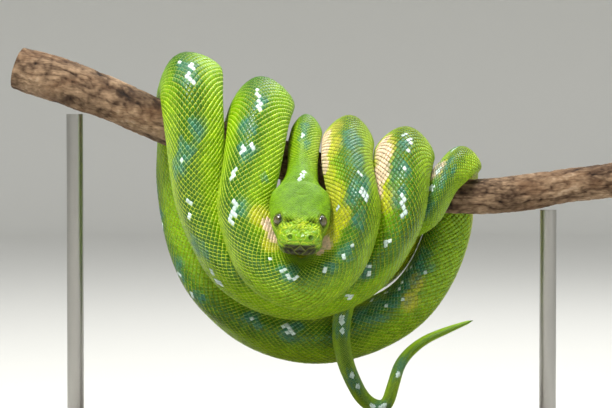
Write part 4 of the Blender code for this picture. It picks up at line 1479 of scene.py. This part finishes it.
def nose_point(aside, upward):
    """Where a look from inside the snout leaves the head."""
    aside, upward = math.radians(aside), math.radians(upward)
    look = np.array((-math.cos(aside) * math.cos(upward), math.sin(aside) * math.cos(upward),
                     math.sin(upward)))
    hit = SKIN_TREE.ray_cast(from_head(NOSE_CENTRE), look @ HEAD_AXES)[0]
    return to_head(np.array(hit))


def nose_plates():
    """The plates between the upper lip and the top of the snout, on both sides."""
    low = [lip_point(*place) for place in ((2.4, 7.0), (5.2, 7.1), (7.9, 7.2), (11.2, 6.7),
                                           (14.5, 6.1))]
    high = [lip_point(*place) for place in ((0.9, 10.6), (3.0, 10.7), (5.6, 10.5), (8.8, 10.1),
                                            (12.2, 9.4), (15.6, 8.6))]
    front, top = nose_point(0, 45), nose_point(0, 66)
    inner, upper, rear = nose_point(24, 42), nose_point(38, 55), nose_point(30, 68)
    outer, corner = nose_point(70, 30), nose_point(62, 50)
    side, side_top = nose_point(86, 28), nose_point(86, 48)
    rows = (
        (low[0], low[1], high[2], high[1], high[0]), (low[1], low[2], high[3], high[2]),
        (low[2], low[3], high[4], high[3]), (low[3], low[4], high[5], high[4]),
        (high[1], high[2], high[3], outer, corner, upper, inner),
        (lip_point(0.01, 10.7), high[0], high[1], inner, front),
        (front, inner, upper, rear, top), (corner, upper, rear, nose_point(80, 62)),
        (high[3], high[4], side, outer), (outer, side, side_top, corner),
    )
    return [made for row in rows for made in both(row)]


front = middle + nose_plates()
print("plates on the snout:", len(front))

# %% [markdown]
# ## The plates around the eyes
#
# A ring of small plates frames each eye. Then all the plates of the head are laid as one piece.

# %% Plates around the eyes
RIM_PLATES, RIM_RADII = 16, (3.35, 4.5)


def eye_rim(count=RIM_PLATES, radii=RIM_RADII):
    """The plates of both rings, between an inner and an outer radius."""
    outward = unit(np.array((-0.22, 0.93, 0.28)))
    upright = unit(np.array((0, 0, 1.0)) - outward * outward[2])
    rightward = np.cross(upright, outward)
    turns = np.arange(count + 1) * 2 * math.pi / count
    spokes = np.outer(np.cos(turns), rightward) + np.outer(np.sin(turns), upright)
    inner, outer = (np.array(EYE_PLACE) + outward * 2 + spokes * radius for radius in radii)
    return [made for i in range(count)
            for made in both((inner[i], outer[i], outer[i + 1], inner[i + 1]))]


HEAD_PLATES = upper + lower + front + eye_rim()
made = lay_plates("head_plates", HEAD_PLATES)
print("plates on the head:", len(HEAD_PLATES), "with", len(made.data.polygons), "faces")

# %% [markdown]
# ## Where the scales sit
#
# Scales lie in a lattice of diamonds: each row around the body is shifted by half a scale
# against the one before. The rows are half a scale's length apart, and scales shrink towards
# the neck and the tail, so the rows are found by counting along the body. Across, the lattice is
# counted from the ridge, and scales drop out where they would reach the belly or the mouth.

# %% The lattice
WIDTH_TO_LENGTH = 0.5  # half the width of a scale, against its length
BELLY_SHARE = 0.8  # where the belly plates begin, as a share of the way down
PLATES_START, PLATES_FULL = 66 * MM, 100 * MM
STRETCH = (0.62, 1.12)  # how far a scale gives way to a bend
COAT_START = 2.4 * MM
MOUTH_ROOM, MOUTH_CORNER = 0.8, 0.5  # mm without grains beside the mouth and behind its corner
EYE_ROOM = 0.5  # and around an eye
NARROWEST = 6 * MM  # half the body's width, where a scale's stray around it is worked out


COUNT_STEP = 0.2 * MM
HEAD_DISORDER = 70 * MM, 30 * MM  # where the disorder of the head's scales ends, and fades


def counted_places(start, end, per_length):
    """Distances along the body with so many places to each length of a scale."""
    fine = np.arange(start, end, COUNT_STEP)
    count = np.cumsum(per_length * COUNT_STEP / pitch_at(fine[:-1]))
    return np.interp(np.arange(int(count[-1])), np.concatenate([[0], count]), fine)


def disorder(at):
    """Scales lie less evenly on the head than on the body."""
    return ease((HEAD_DISORDER[0] - at) / HEAD_DISORDER[1])


def free_of_features(back, across, up):
    """True where grains may grow: not in the mouth, on an eye or under a plate."""
    slit = (np.abs(up - mouth_level(back)) < MOUTH_ROOM) & (back < MOUTH_BACK + MOUTH_CORNER)
    away = np.stack([back, np.abs(across), up], axis=1) - EYE_PLACE
    taken = slit | (np.linalg.norm(away, axis=1) < EYE_RADIUS / MM + EYE_ROOM)
    points = from_head(np.column_stack([back, across, up]))
    for made in HEAD_PLATES:
        taken |= under(made, points)
    return ~taken


def lattice():
    """Roots of all scales: distance, angle, width and the girth's slope, as columns."""
    rows = counted_places(COAT_START, LAST - 2 * MM, 2)
    turns = np.linspace(0, math.pi, 121)
    at = np.repeat(rows, len(turns))
    rings = surface(at, np.tile(turns, len(rows))).reshape(len(rows), len(turns), 3)
    girth = np.cumsum(np.linalg.norm(np.diff(rings, axis=1), axis=2), axis=1)
    girth = np.column_stack([np.zeros(len(rows)), girth])
    pitch = pitch_at(rows)
    plates = ease((rows - PLATES_START) / (PLATES_FULL - PLATES_START))
    found = []
    for row, (place, length) in enumerate(zip(rows, pitch, strict=True)):
        across = length * WIDTH_TO_LENGTH
        limit = girth[row, -1] * (1 - (1 - BELLY_SHARE) * plates[row])
        if plates[row] == 0:
            limit -= across * 0.5
        columns = np.arange(-int(limit / across), int(limit / across) + 1)
        columns = columns[(columns + row) % 2 == 0]
        theta = np.interp(np.abs(columns) * across, girth[row], turns) * np.sign(columns)
        found.append(np.column_stack([np.full(len(columns), place), theta]))
    roots = np.concatenate(found)
    stray = 0.04 + 0.14 * disorder(roots[:, 0])
    pitch = pitch_at(roots[:, 0])
    half_width = np.maximum(through(DISTANCE, BODY[:, 9], roots[:, 0]) / 2, NARROWEST)
    for column, reach in ((0, pitch), (1, WIDTH_TO_LENGTH * pitch / half_width)):
        roots[:, column] += rng.uniform(-1, 1, len(roots)) * stray * reach
    on_head = roots[:, 0] < FINE_HEAD
    across, up = head_section(np.minimum(roots[:, 0] / MM, HEAD_END - 1), roots[:, 1])
    return roots[~on_head | free_of_features(roots[:, 0] / MM, across, up)]


ROOTS = lattice()
print("scales:", len(ROOTS), "pitch on the head and at mid body:",
      pitch_at(np.array([0.02, 0.9])).round(5))

# %% [markdown]
# ## Laying the scales
#
# Every corner of every scale is put on the snake by the same surface formula, so a scale bends
# with the body. On the inside of a bend scales slide over each other, and on the outside they
# part a little and show the skin between them. The coat is cut into one piece for each stretch
# of the body. In the UV map each scale is a tiny patch at its root's place on the unrolled skin.

# %% The coat of scales
PATCH = 0.0015  # half the size of a scale's patch in the UV map
GRAIN_UNTIL, DIAMOND_FROM = 42 * MM, 85 * MM
LUMPY = (12 * MM, 6 * MM)  # where the snout's scales are swollen, and how far that spreads
TILT, SWELL = 0.12, 1.5  # how unevenly scales lift, and how much the swollen ones stand out
TINTS = 0.45  # how much one scale's shade differs from the next


def scale_marks(at, theta, lumpy):
    """The markings of whole scales, each a little different from the next."""
    values = markings(at, theta)
    values["tint"] = rng.normal(0, TINTS, len(at)).clip(-1, 1)
    values["teal"] = values["teal"] * rng.uniform(0.4, 1.1, len(at)).clip(0, 1)
    values["pale"] = np.maximum(values["pale"], rng.uniform(0, 1, len(at)) * lumpy)
    values["ridge"] = values["ridge"] * (1 - lumpy)
    values["lip"] = head_lip_shade(at, theta)
    return {key: np.repeat(value, len(GRAIN)) for key, value in values.items()}


def lay_scales(name, roots, start, end):
    """The coat over one stretch of the body, one scale to each root."""
    at, theta = roots[:, 0], roots[:, 1]
    along, around, _ = slopes(at, theta)
    pitch = pitch_at(at)
    stretch = np.linalg.norm(along, axis=1)
    length = pitch * np.clip(stretch, *STRETCH) / stretch
    width = 2 * WIDTH_TO_LENGTH * pitch / np.linalg.norm(around, axis=1)
    uneven = 0.16 * disorder(at)
    length *= 1 + uneven * rng.uniform(-1, 1, len(at))
    width *= 1 + uneven * rng.uniform(-1, 1, len(at))
    share = ease((at - GRAIN_UNTIL) / (DIAMOND_FROM - GRAIN_UNTIL))[:, None, None]
    shape = GRAIN[None] * (1 - share) + DIAMOND[None] * share
    corners_at = np.maximum(at[:, None] + shape[:, :, 0] * length[:, None], 0.3 * MM)
    corners_theta = theta[:, None] + shape[:, :, 1] * width[:, None]
    lumpy = bell(at - LUMPY[0], LUMPY[1])
    tilt = 1 + rng.uniform(-1, 1, len(at)) * (TILT + 2 * uneven) + SWELL * lumpy
    lift = shape[:, :, 2] * (pitch * tilt)[:, None]
    points, dark, _ = skin_surface(corners_at.ravel(), corners_theta.ravel(), lift.ravel())
    values = scale_marks(at, theta, lumpy)
    values["dark"] = dark
    # the rims of the diamond scales take the painted highlight
    values["rim"] = np.tile(SCALE_RIM, len(at)) * np.repeat(share.ravel(), len(GRAIN))
    root_uv = np.column_stack([0.01 + 0.98 * (at - start) / (end - start),
                               0.5 + 0.49 * theta / math.pi])
    uvs = root_uv[:, None] + shape[None, 0, :, :2] * PATCH
    return many(name, points.reshape(len(at), -1, 3), SCALE_FACES, uvs, values, SCALES)


CUTS = (0.0, FINE_HEAD, MARKS["turn_1"], MARKS["turn_2"], MARKS["turn_3"], MARKS["turn_4"],
        MARKS["turn_5"], MARKS["outer_right"], LENGTH)
COATS = ("coat_head", "coat_neck", "coat_front", "coat_middle", "coat_thick", "coat_outer",
         "coat_rear", "coat_tail")
for name, start, end in zip(COATS, CUTS[:-1], CUTS[1:], strict=True):
    mine = ROOTS[(ROOTS[:, 0] >= start) & (ROOTS[:, 0] < end)]
    coat = lay_scales(name, mine, start, end)
    print(name, len(mine), "scales,", len(coat.data.polygons), "faces")

# %% [markdown]
# ## The belly plates
#
# Under the body, and in sight where a coil shows its side, one broad plate follows another, each
# as long as two scales. A plate is a thin wedge, bent across the belly: it starts under the
# plate before it and ends in a free edge. We lay a small profile at steps across the belly and
# join them, and the ends narrow to nothing under the last row of scales.

# %% The belly plates
PLATE_PROFILE = np.array((  # length and height, in scale lengths
    (-1.15, -0.05), (-0.3, 0.07), (0.7, 0.115), (1.08, 0.12), (1.1, 0.05), (0.0, -0.14),
))
PLATE_STATIONS = 13
PLATE_OVERLAP = 1.07  # how far a plate reaches under the scales beside it


def plate_faces():
    """The faces along a belly plate's profile, and over its two ends."""
    around = len(PLATE_PROFILE)
    faces = []
    for i in range(PLATE_STATIONS - 1):
        for j in range(around):
            k = (j + 1) % around
            first, second = i * around, (i + 1) * around
            faces += [(first + j, second + j, second + k), (first + j, second + k, first + k)]
    for end, order in ((0, 1), (PLATE_STATIONS - 1, -1)):
        cap = [end * around + j for j in range(around)][::order]
        faces += [(cap[0], cap[i], cap[i + 1]) for i in range(1, around - 1)]
    return np.array(faces)


def belly_plates():
    """All plates under the body and the tail, as one piece."""
    at = counted_places(PLATES_START, LAST - 6 * MM, 0.5)
    plates = ease((at - PLATES_START + 6 * MM) / (PLATES_FULL - PLATES_START))
    half = math.pi * (1 - BELLY_SHARE) * 1.15 * PLATE_OVERLAP * plates
    across = np.linspace(-1, 1, PLATE_STATIONS)
    narrow = np.sqrt(np.clip(1.02 - across**2, 0, 1))
    theta = math.pi + half[:, None, None] * across[None, :, None]
    theta = np.broadcast_to(theta, (len(at), PLATE_STATIONS, len(PLATE_PROFILE)))
    pitch = pitch_at(at)[:, None, None]
    shape = PLATE_PROFILE[None, None] * narrow[None, :, None, None] ** 0.4
    corner_at = at[:, None, None] + shape[..., 0] * pitch
    lift = shape[..., 1] * pitch - (1 - narrow)[None, :, None] * 0.12 * pitch
    points, dark, _ = skin_surface(corner_at.ravel(), theta.ravel(), lift.ravel())
    corners = PLATE_STATIONS * len(PLATE_PROFILE)
    values = markings(np.repeat(at, corners), theta.ravel())
    values["tint"] = np.repeat(rng.normal(0, 0.3, len(at)), corners)
    values["dark"] = dark
    # the free edge of each belly plate takes the painted highlight
    rim = np.isin(np.arange(len(PLATE_PROFILE)), (3, 4)).astype(float)
    values["rim"] = np.tile(rim, len(at) * PLATE_STATIONS)
    patch = np.stack([(at[:, None, None] / LENGTH + shape[..., 0] * 0.002),
                      np.broadcast_to(0.5 + 0.4 * across[None, :, None], theta.shape)], axis=-1)
    return many("belly_plates", points.reshape(len(at), -1, 3), plate_faces(), patch, values,
                SCALES)


belly = belly_plates()
print("belly plates:", len(belly.data.polygons), "faces")

# %% [markdown]
# ## The eyes
#
# The eye is a ball under a clear scale, with a pupil that closes to a slit. A sphere whose poles
# lie on the line of sight makes this easy: each corner's place against that line is stored, and
# the finish draws the slit, the iris around it and a dark rim from two numbers.

# %% The eyes
GAZE = (-0.42, 0.9, 0.12)  # back, out and up: where the eyes look
EYE_SIDES = (64, 40)
SLIT_HALF, SLIT_EDGE, SLIT_TAPER = 0.08, 0.15, 0.16  # in radii of the eye
EYE_COLOURS = {"iris": colour(142, 124, 92), "outer": colour(88, 84, 40),
               "slit": colour(8, 7, 5), "rim": colour(30, 34, 12)}


def draw_eye(w):
    across, upward = w.attribute("across"), w.attribute("upward")
    out = w.maths("SQRT", across * across + upward * upward)
    off_slit = w.maths("ABSOLUTE", across) + upward * upward * SLIT_TAPER
    slit = 1 - off_slit.between(SLIT_HALF, SLIT_EDGE)
    streaks = w.noise(w.places(), 2600.0, 3.0)
    base = (out + streaks * 0.2).between(0.35, 0.85).mix(EYE_COLOURS["iris"], EYE_COLOURS["outer"])
    base = (streaks * 0.7).mix(base, EYE_COLOURS["rim"])
    base = out.between(0.82, 0.95).mix(base, EYE_COLOURS["rim"])
    return {"Base Color": slit.mix(base, EYE_COLOURS["slit"]),
            "Normal": w.bump(streaks, 0.00002)}


EYE = finish("eye", draw_eye, {"Roughness": 0.12, "Specular IOR Level": 0.6,
                               "Coat Weight": 0.6, "Coat Roughness": 0.03})


def make_eye(name, hand):
    """A ball whose pole looks out; its corners know how far off the gaze they lie."""
    flip = np.array((1, hand, 1))
    centre = from_head(np.array(EYE_PLACE) * flip)
    gaze = unit(np.array(GAZE) * flip @ HEAD_AXES)
    upward = np.array((0.3, 0, 1)) @ HEAD_AXES
    upward = unit(upward - gaze * (upward @ gaze))
    across = np.cross(gaze, upward)
    ball = bmesh.new()
    bmesh.ops.create_uvsphere(ball, u_segments=EYE_SIDES[0], v_segments=EYE_SIDES[1], radius=1.0)
    mesh, places = read_mesh(name, ball)
    for key, column in (("across", 0), ("upward", 1)):
        mesh.attributes.new(key, "FLOAT", "POINT").data.foreach_set("value", places[:, column])
    points = centre + EYE_RADIUS * (places @ np.array([across, upward, gaze]))
    mesh.vertices.foreach_set("co", points.ravel())
    return show(name, mesh, EYE)


for hand, side in (("left", 1), ("right", -1)):
    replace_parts(make_eye(f"{hand}_eyeball", side), f"eye_{hand}")
print("two eyes of radius", EYE_RADIUS)

# %% [markdown]
# ## The branch
#
# The perch is a dead branch: grey brown bark with long dark cracks, and warmer wood where it is
# rubbed. Its relief is deep enough to break the outline, so it is made as a fine grid wrapped
# around the branch's axis and pushed in and out by smooth random hills. Where two hills meet
# half way, a crack is left, and the hills are longer along the branch than around it.

# %% The bark
BARK_AROUND, BARK_ALONG = 168, 560
BARK_DEPTH = 1.25 * MM
BARK_INSET = 0.2 * MM  # so that no ridge stands out of the solid
SAW_EDGE = 2 * MM
BARK_SHARP = math.radians(60)


def wrapped_noise(along, around, cells):
    """Smooth random hills on the branch: so many cells along and around it, without a seam."""
    table = rng.random((cells[0] + 3, cells[1]))
    x, y = along * cells[0], (around % 1) * cells[1]
    column, row = x.astype(int), y.astype(int)
    fade_x, fade_y = ease(x - column), ease(y - row)
    column, row, above = column + 1, row % cells[1], (row + 1) % cells[1]
    low = table[column, row] * (1 - fade_x) + table[column + 1, row] * fade_x
    high = table[column, above] * (1 - fade_x) + table[column + 1, above] * fade_x
    return low * (1 - fade_y) + high * fade_y


def bark_height(along, around):
    """The relief of the bark, between 0 in a crack and 1 on a ridge."""
    bend = wrapped_noise(along, around, (14, 4)) - 0.5
    turn = around + 0.10 * bend + 0.03 * wrapped_noise(along, around, (50, 9))
    plates = np.zeros_like(along)
    for cells, share in (((20, 13), 0.55), ((46, 27), 0.45)):
        hill = wrapped_noise(along, turn, cells)
        plates += share * np.sqrt(np.clip(np.abs(2 * hill - 1) * 1.5, 0, 1))
    rough = wrapped_noise(along, around, (190, 42)) + 0.6 * wrapped_noise(along, turn, (300, 80))
    lumps = wrapped_noise(along, around, (26, 6))
    return np.clip(0.12 + 0.62 * plates + 0.26 * (rough - 0.8) + 0.3 * (lumps - 0.4), 0, 1)


# The bark grows lighter with the height of its relief and is darkest in the cracks; the lightest
# tone, on the highest ridges, is a painted highlight.
BARK_COLOURS = {"low": colour(62, 44, 30), "high": colour(150, 124, 98),
                "worn": colour(104, 74, 50), "fibre": colour(58, 40, 27),
                "ridge": colour(186, 164, 138), "crack": colour(24, 15, 9)}


def draw_bark(w):
    tones = BARK_COLOURS
    height = w.attribute("height")
    fibres = w.noise(w.places(stretch=(0.14, 1, 1)), 1300.0, 5.0, 0.65)
    patches = w.noise(w.places(stretch=(0.4, 1, 1)), 70.0, 4.0, 0.6)
    base = height.between(0.25, 0.85).mix(tones["low"], tones["high"])
    base = (patches.between(0.45, 0.7) * 0.55).mix(base, tones["worn"])
    base = (fibres.between(0.45, 0.7) * 0.6).mix(base, tones["fibre"])
    # painted highlight on the highest ridges
    base = (height.between(0.72, 0.95) * 0.5).mix(base, tones["ridge"])
    base = (1 - height.between(0.1, 0.38)).mix(base, tones["crack"])
    return {"Base Color": base, "Roughness": 0.7 + 0.22 * fibres,
            "Normal": w.bump(fibres, 0.0006)}


BARK_FINISH = finish("bark", draw_bark, {"Specular IOR Level": 0.25})
print("the cracks of the bark go", BARK_DEPTH / MM, "mm deep")

# %% [markdown]
# ## Wrapping the bark around the branch
#
# The grid's corners go around the axis at the branch's own radius, less the depth of the crack
# that they lie in. The two ends are closed with flat sawn faces.

# %% The branch
def make_branch():
    """The whole branch as one piece."""
    sheet = bmesh.new()
    bmesh.ops.create_grid(sheet, x_segments=BARK_ALONG, y_segments=BARK_AROUND, size=0.5)
    mesh, flat = read_mesh("branch_bark", sheet)
    flat = flat + 0.5
    ends = BRANCH_AXIS[0][0] * MM, BRANCH_AXIS[-1][0] * MM
    x = ends[0] + (ends[1] - ends[0]) * flat[:, 0]
    theta = 2 * math.pi * flat[:, 1]
    height = bark_height(flat[:, 0], flat[:, 1])
    centre, radius, forward = branch_at(x)
    upward = unit(np.array([0, 0, 1.0]) - forward * forward[:, 2:])
    sideways = np.cross(forward, upward)
    size = radius - BARK_DEPTH * (1 - height) - BARK_INSET
    points = centre + size[:, None] * (np.cos(theta)[:, None] * upward
                                       + np.sin(theta)[:, None] * sideways)
    mesh.vertices.foreach_set("co", points.ravel())
    mesh.attributes.new("height", "FLOAT", "POINT").data.foreach_set("value", height)
    weld(mesh, SAW_EDGE)
    piece = show("branch_bark", mesh, BARK_FINISH)
    mesh.set_sharp_from_angle(angle=BARK_SHARP)
    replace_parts(piece, "branch")
    return piece


bark = make_branch()
print("branch:", len(bark.data.polygons), "faces")

# %% [markdown]
# ## The stand
#
# The stand is meant to be overlooked: a dark wooden base and two brushed steel rods, each in a
# low turned collar. The solids of the stand are right in shape but coarse where they are round,
# so each gets a finer twin of exactly its own box. The base gets round corners, and the base and
# the collars get their upper edges eased. First the two materials: stained wood with growth
# rings along the base, and steel brushed along the rods.

# %% Wood and steel
def draw_wood(w):
    places = w.places(stretch=(0.09, 1, 1))
    rings = w.noise(places, 45.0, 4.0, 0.55, 0.6)
    pores = w.noise(w.places(stretch=(0.04, 1, 1)), 900.0, 2.0)
    bands = w.maths("FRACT", rings * 9.0)
    base = bands.mix(colour(58, 38, 26), colour(84, 56, 38))
    base = (pores.between(0.56, 0.7) * 0.6).mix(base, colour(30, 19, 13))
    return {"Base Color": base, "Roughness": 0.36 + 0.2 * pores,
            "Normal": w.bump(pores, 0.00006)}


def draw_steel(w):
    brushed = w.noise(w.places(stretch=(1, 1, 0.02)), 5000.0, 2.0)
    return {"Roughness": 0.26 + 0.16 * brushed, "Normal": w.bump(brushed, 0.00001)}


WOOD = finish("dark_wood", draw_wood, {"Coat Weight": 0.25, "Coat Roughness": 0.3})
STEEL = finish("brushed_steel", draw_steel,
               {"Metallic": 1.0, "Base Color": colour(176, 174, 170)})


print("materials of the stand:", WOOD.name, "and", STEEL.name)

# %% The stand
ROD_SIDES, COLLAR_SIDES = 56, 72
COLLAR_EDGE, BASE_EDGE, BASE_CORNER = 1.2 * MM, 2 * MM, 12 * MM
STAND_SHARP = math.radians(35)


def piece_from(name, shape, material, node):
    """Turns a finished bmesh into a piece that replaces one solid of the stand."""
    mesh, _ = read_mesh(name, shape)
    piece = show(name, mesh, material)
    mesh.set_sharp_from_angle(angle=STAND_SHARP)
    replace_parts(piece, node)
    return piece


def round_off(shape, edges, amount, steps):
    bmesh.ops.bevel(shape, geom=edges, offset=amount, segments=steps, profile=0.5,
                    affect="EDGES", material=-1)


def top_edges(shape, height):
    return [edge for edge in shape.edges
            if all(vert.co.z > height - 0.1 * MM for vert in edge.verts)]


def turned(node, name, sides, edge=0):
    """A round piece that fills a node's box, with its upper edge eased when an edge is given."""
    low, high = (np.array(corner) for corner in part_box(node))
    shape = bmesh.new()
    radius = (high[1] - low[1]) / 2
    bmesh.ops.create_cone(shape, cap_ends=True, segments=sides, radius1=radius,
                          radius2=radius, depth=high[2] - low[2])
    bmesh.ops.translate(shape, vec=(low + high) / 2, verts=shape.verts)
    if edge:
        round_off(shape, top_edges(shape, high[2]), edge, 4)
    return piece_from(name, shape, STEEL, node)


def make_base():
    """A block that fills its node's box, with round corners and an eased upper edge."""
    low, high = (np.array(corner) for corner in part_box("stand_base"))
    size = high - low
    shape = bmesh.new()
    bmesh.ops.create_cube(shape, size=1)
    bmesh.ops.scale(shape, vec=size, verts=shape.verts)
    bmesh.ops.translate(shape, vec=(low + high) / 2, verts=shape.verts)
    upright = [edge for edge in shape.edges
               if abs(edge.verts[0].co.z - edge.verts[1].co.z) > size[2] / 2]
    round_off(shape, upright, BASE_CORNER, 16)
    round_off(shape, top_edges(shape, high[2]), BASE_EDGE, 5)
    return piece_from("display_base", shape, WOOD, "stand_base")


make_base()
for hand in ("left", "right"):
    turned(f"stand_rod_{hand}", f"rod_{hand}", ROD_SIDES)
    turned(f"stand_collar_{hand}", f"collar_{hand}", COLLAR_SIDES, COLLAR_EDGE)
print("stand pieces: base, two rods, two collars")

# %% [markdown]
# ## The room
#
# A museum piece is shown against a plain pale ground. The floor is round and runs up into a low
# wall, so that no line crosses the picture from any side. It is one profile, spun once round.

# %% The floor
FLOOR_RADIUS, SWEEP, WALL_HEIGHT = 3.4, 0.45, 1.8
SWEEP_STEPS, FLOOR_SIDES = 20, 96


def draw_paper(w):
    return {"Roughness": 0.85 + 0.1 * w.noise(w.places(), 300.0)}


PAPER = finish("paper", draw_paper, {"Base Color": colour(214, 214, 210)})


def make_floor():
    """The floor and the low wall around it."""
    sheet = bmesh.new()
    places = [(0, 0), (1, 0)]
    places += [(FLOOR_RADIUS - SWEEP + SWEEP * math.sin(turn), SWEEP * (1 - math.cos(turn)))
               for turn in np.linspace(0, math.pi / 2, SWEEP_STEPS)]
    places.append((FLOOR_RADIUS, WALL_HEIGHT))
    verts = [sheet.verts.new((x, 0, z)) for x, z in places]
    edges = [sheet.edges.new(pair) for pair in zip(verts[:-1], verts[1:], strict=True)]
    bmesh.ops.spin(sheet, geom=verts + edges, cent=(0, 0, 0), axis=(0, 0, 1),
                   angle=2 * math.pi, steps=FLOOR_SIDES, use_merge=True)
    bmesh.ops.remove_doubles(sheet, verts=sheet.verts, dist=1 * MM)
    bmesh.ops.recalc_face_normals(sheet, faces=sheet.faces)
    if sum(face.normal.z for face in sheet.faces) < 0:
        bmesh.ops.reverse_faces(sheet, faces=sheet.faces)
    mesh, _ = read_mesh("floor", sheet)
    in_scene("floor", mesh, PAPER)
    return mesh


print("the floor:", len(make_floor().polygons), "faces")

# %% [markdown]
# ## The light
#
# One fairly small light high on the left models the coils and draws their shadows, and a weak
# broad one from the right opens the shadows. A third from behind lights the rims, a small one
# from above lights the tops of the coils, and a wide ceiling fills the rest.

# %% The lights
AIM = (0, 0, 0.17)
WORLD_COLOUR, WORLD_STRENGTH = (0.85, 0.88, 0.92, 1), 0.1
LIGHTS = (
    # name, place, size, power, colour
    ("key", (-0.4, -0.8, 1.35), 0.35, 29.0, (1.0, 0.98, 0.92)),
    ("fill", (1.3, -1.2, 0.8), 1.2, 2.6, (0.95, 0.98, 1.0)),
    ("rear", (0.5, 0.9, 1.3), 0.7, 9.0, (1.0, 1.0, 1.0)),
    ("top", (0.05, 0.28, 1.5), 0.25, 3.0, (1.0, 1.0, 1.0)),
    ("ceiling", (0.0, 0.01, 3.2), 5.0, 84.0, (1.0, 1.0, 1.0)),
)


def add_light(name, place, size, power, tone):
    """A square area light that looks at the model."""
    data = bpy.data.lights.new(name, "AREA")
    data.size, data.energy, data.color = size, power, tone
    lamp = bpy.data.objects.new(name, data)
    bpy.context.scene.collection.objects.link(lamp)
    aim = np.array(AIM) - place
    lamp.location = place
    flat = math.hypot(aim[0], aim[1])
    lamp.rotation_euler = (math.atan2(flat, -aim[2]), 0, math.atan2(aim[1], aim[0]) - math.pi / 2)


for light in LIGHTS:
    add_light(*light)
world = bpy.data.worlds.new("room")
world.use_nodes = True
background = world.node_tree.nodes["Background"].inputs
background["Color"].default_value = WORLD_COLOUR
background["Strength"].default_value = WORLD_STRENGTH
bpy.context.scene.world = world
bpy.context.scene.view_settings.view_transform = "Standard"
print("lights:", [light[0] for light in LIGHTS])
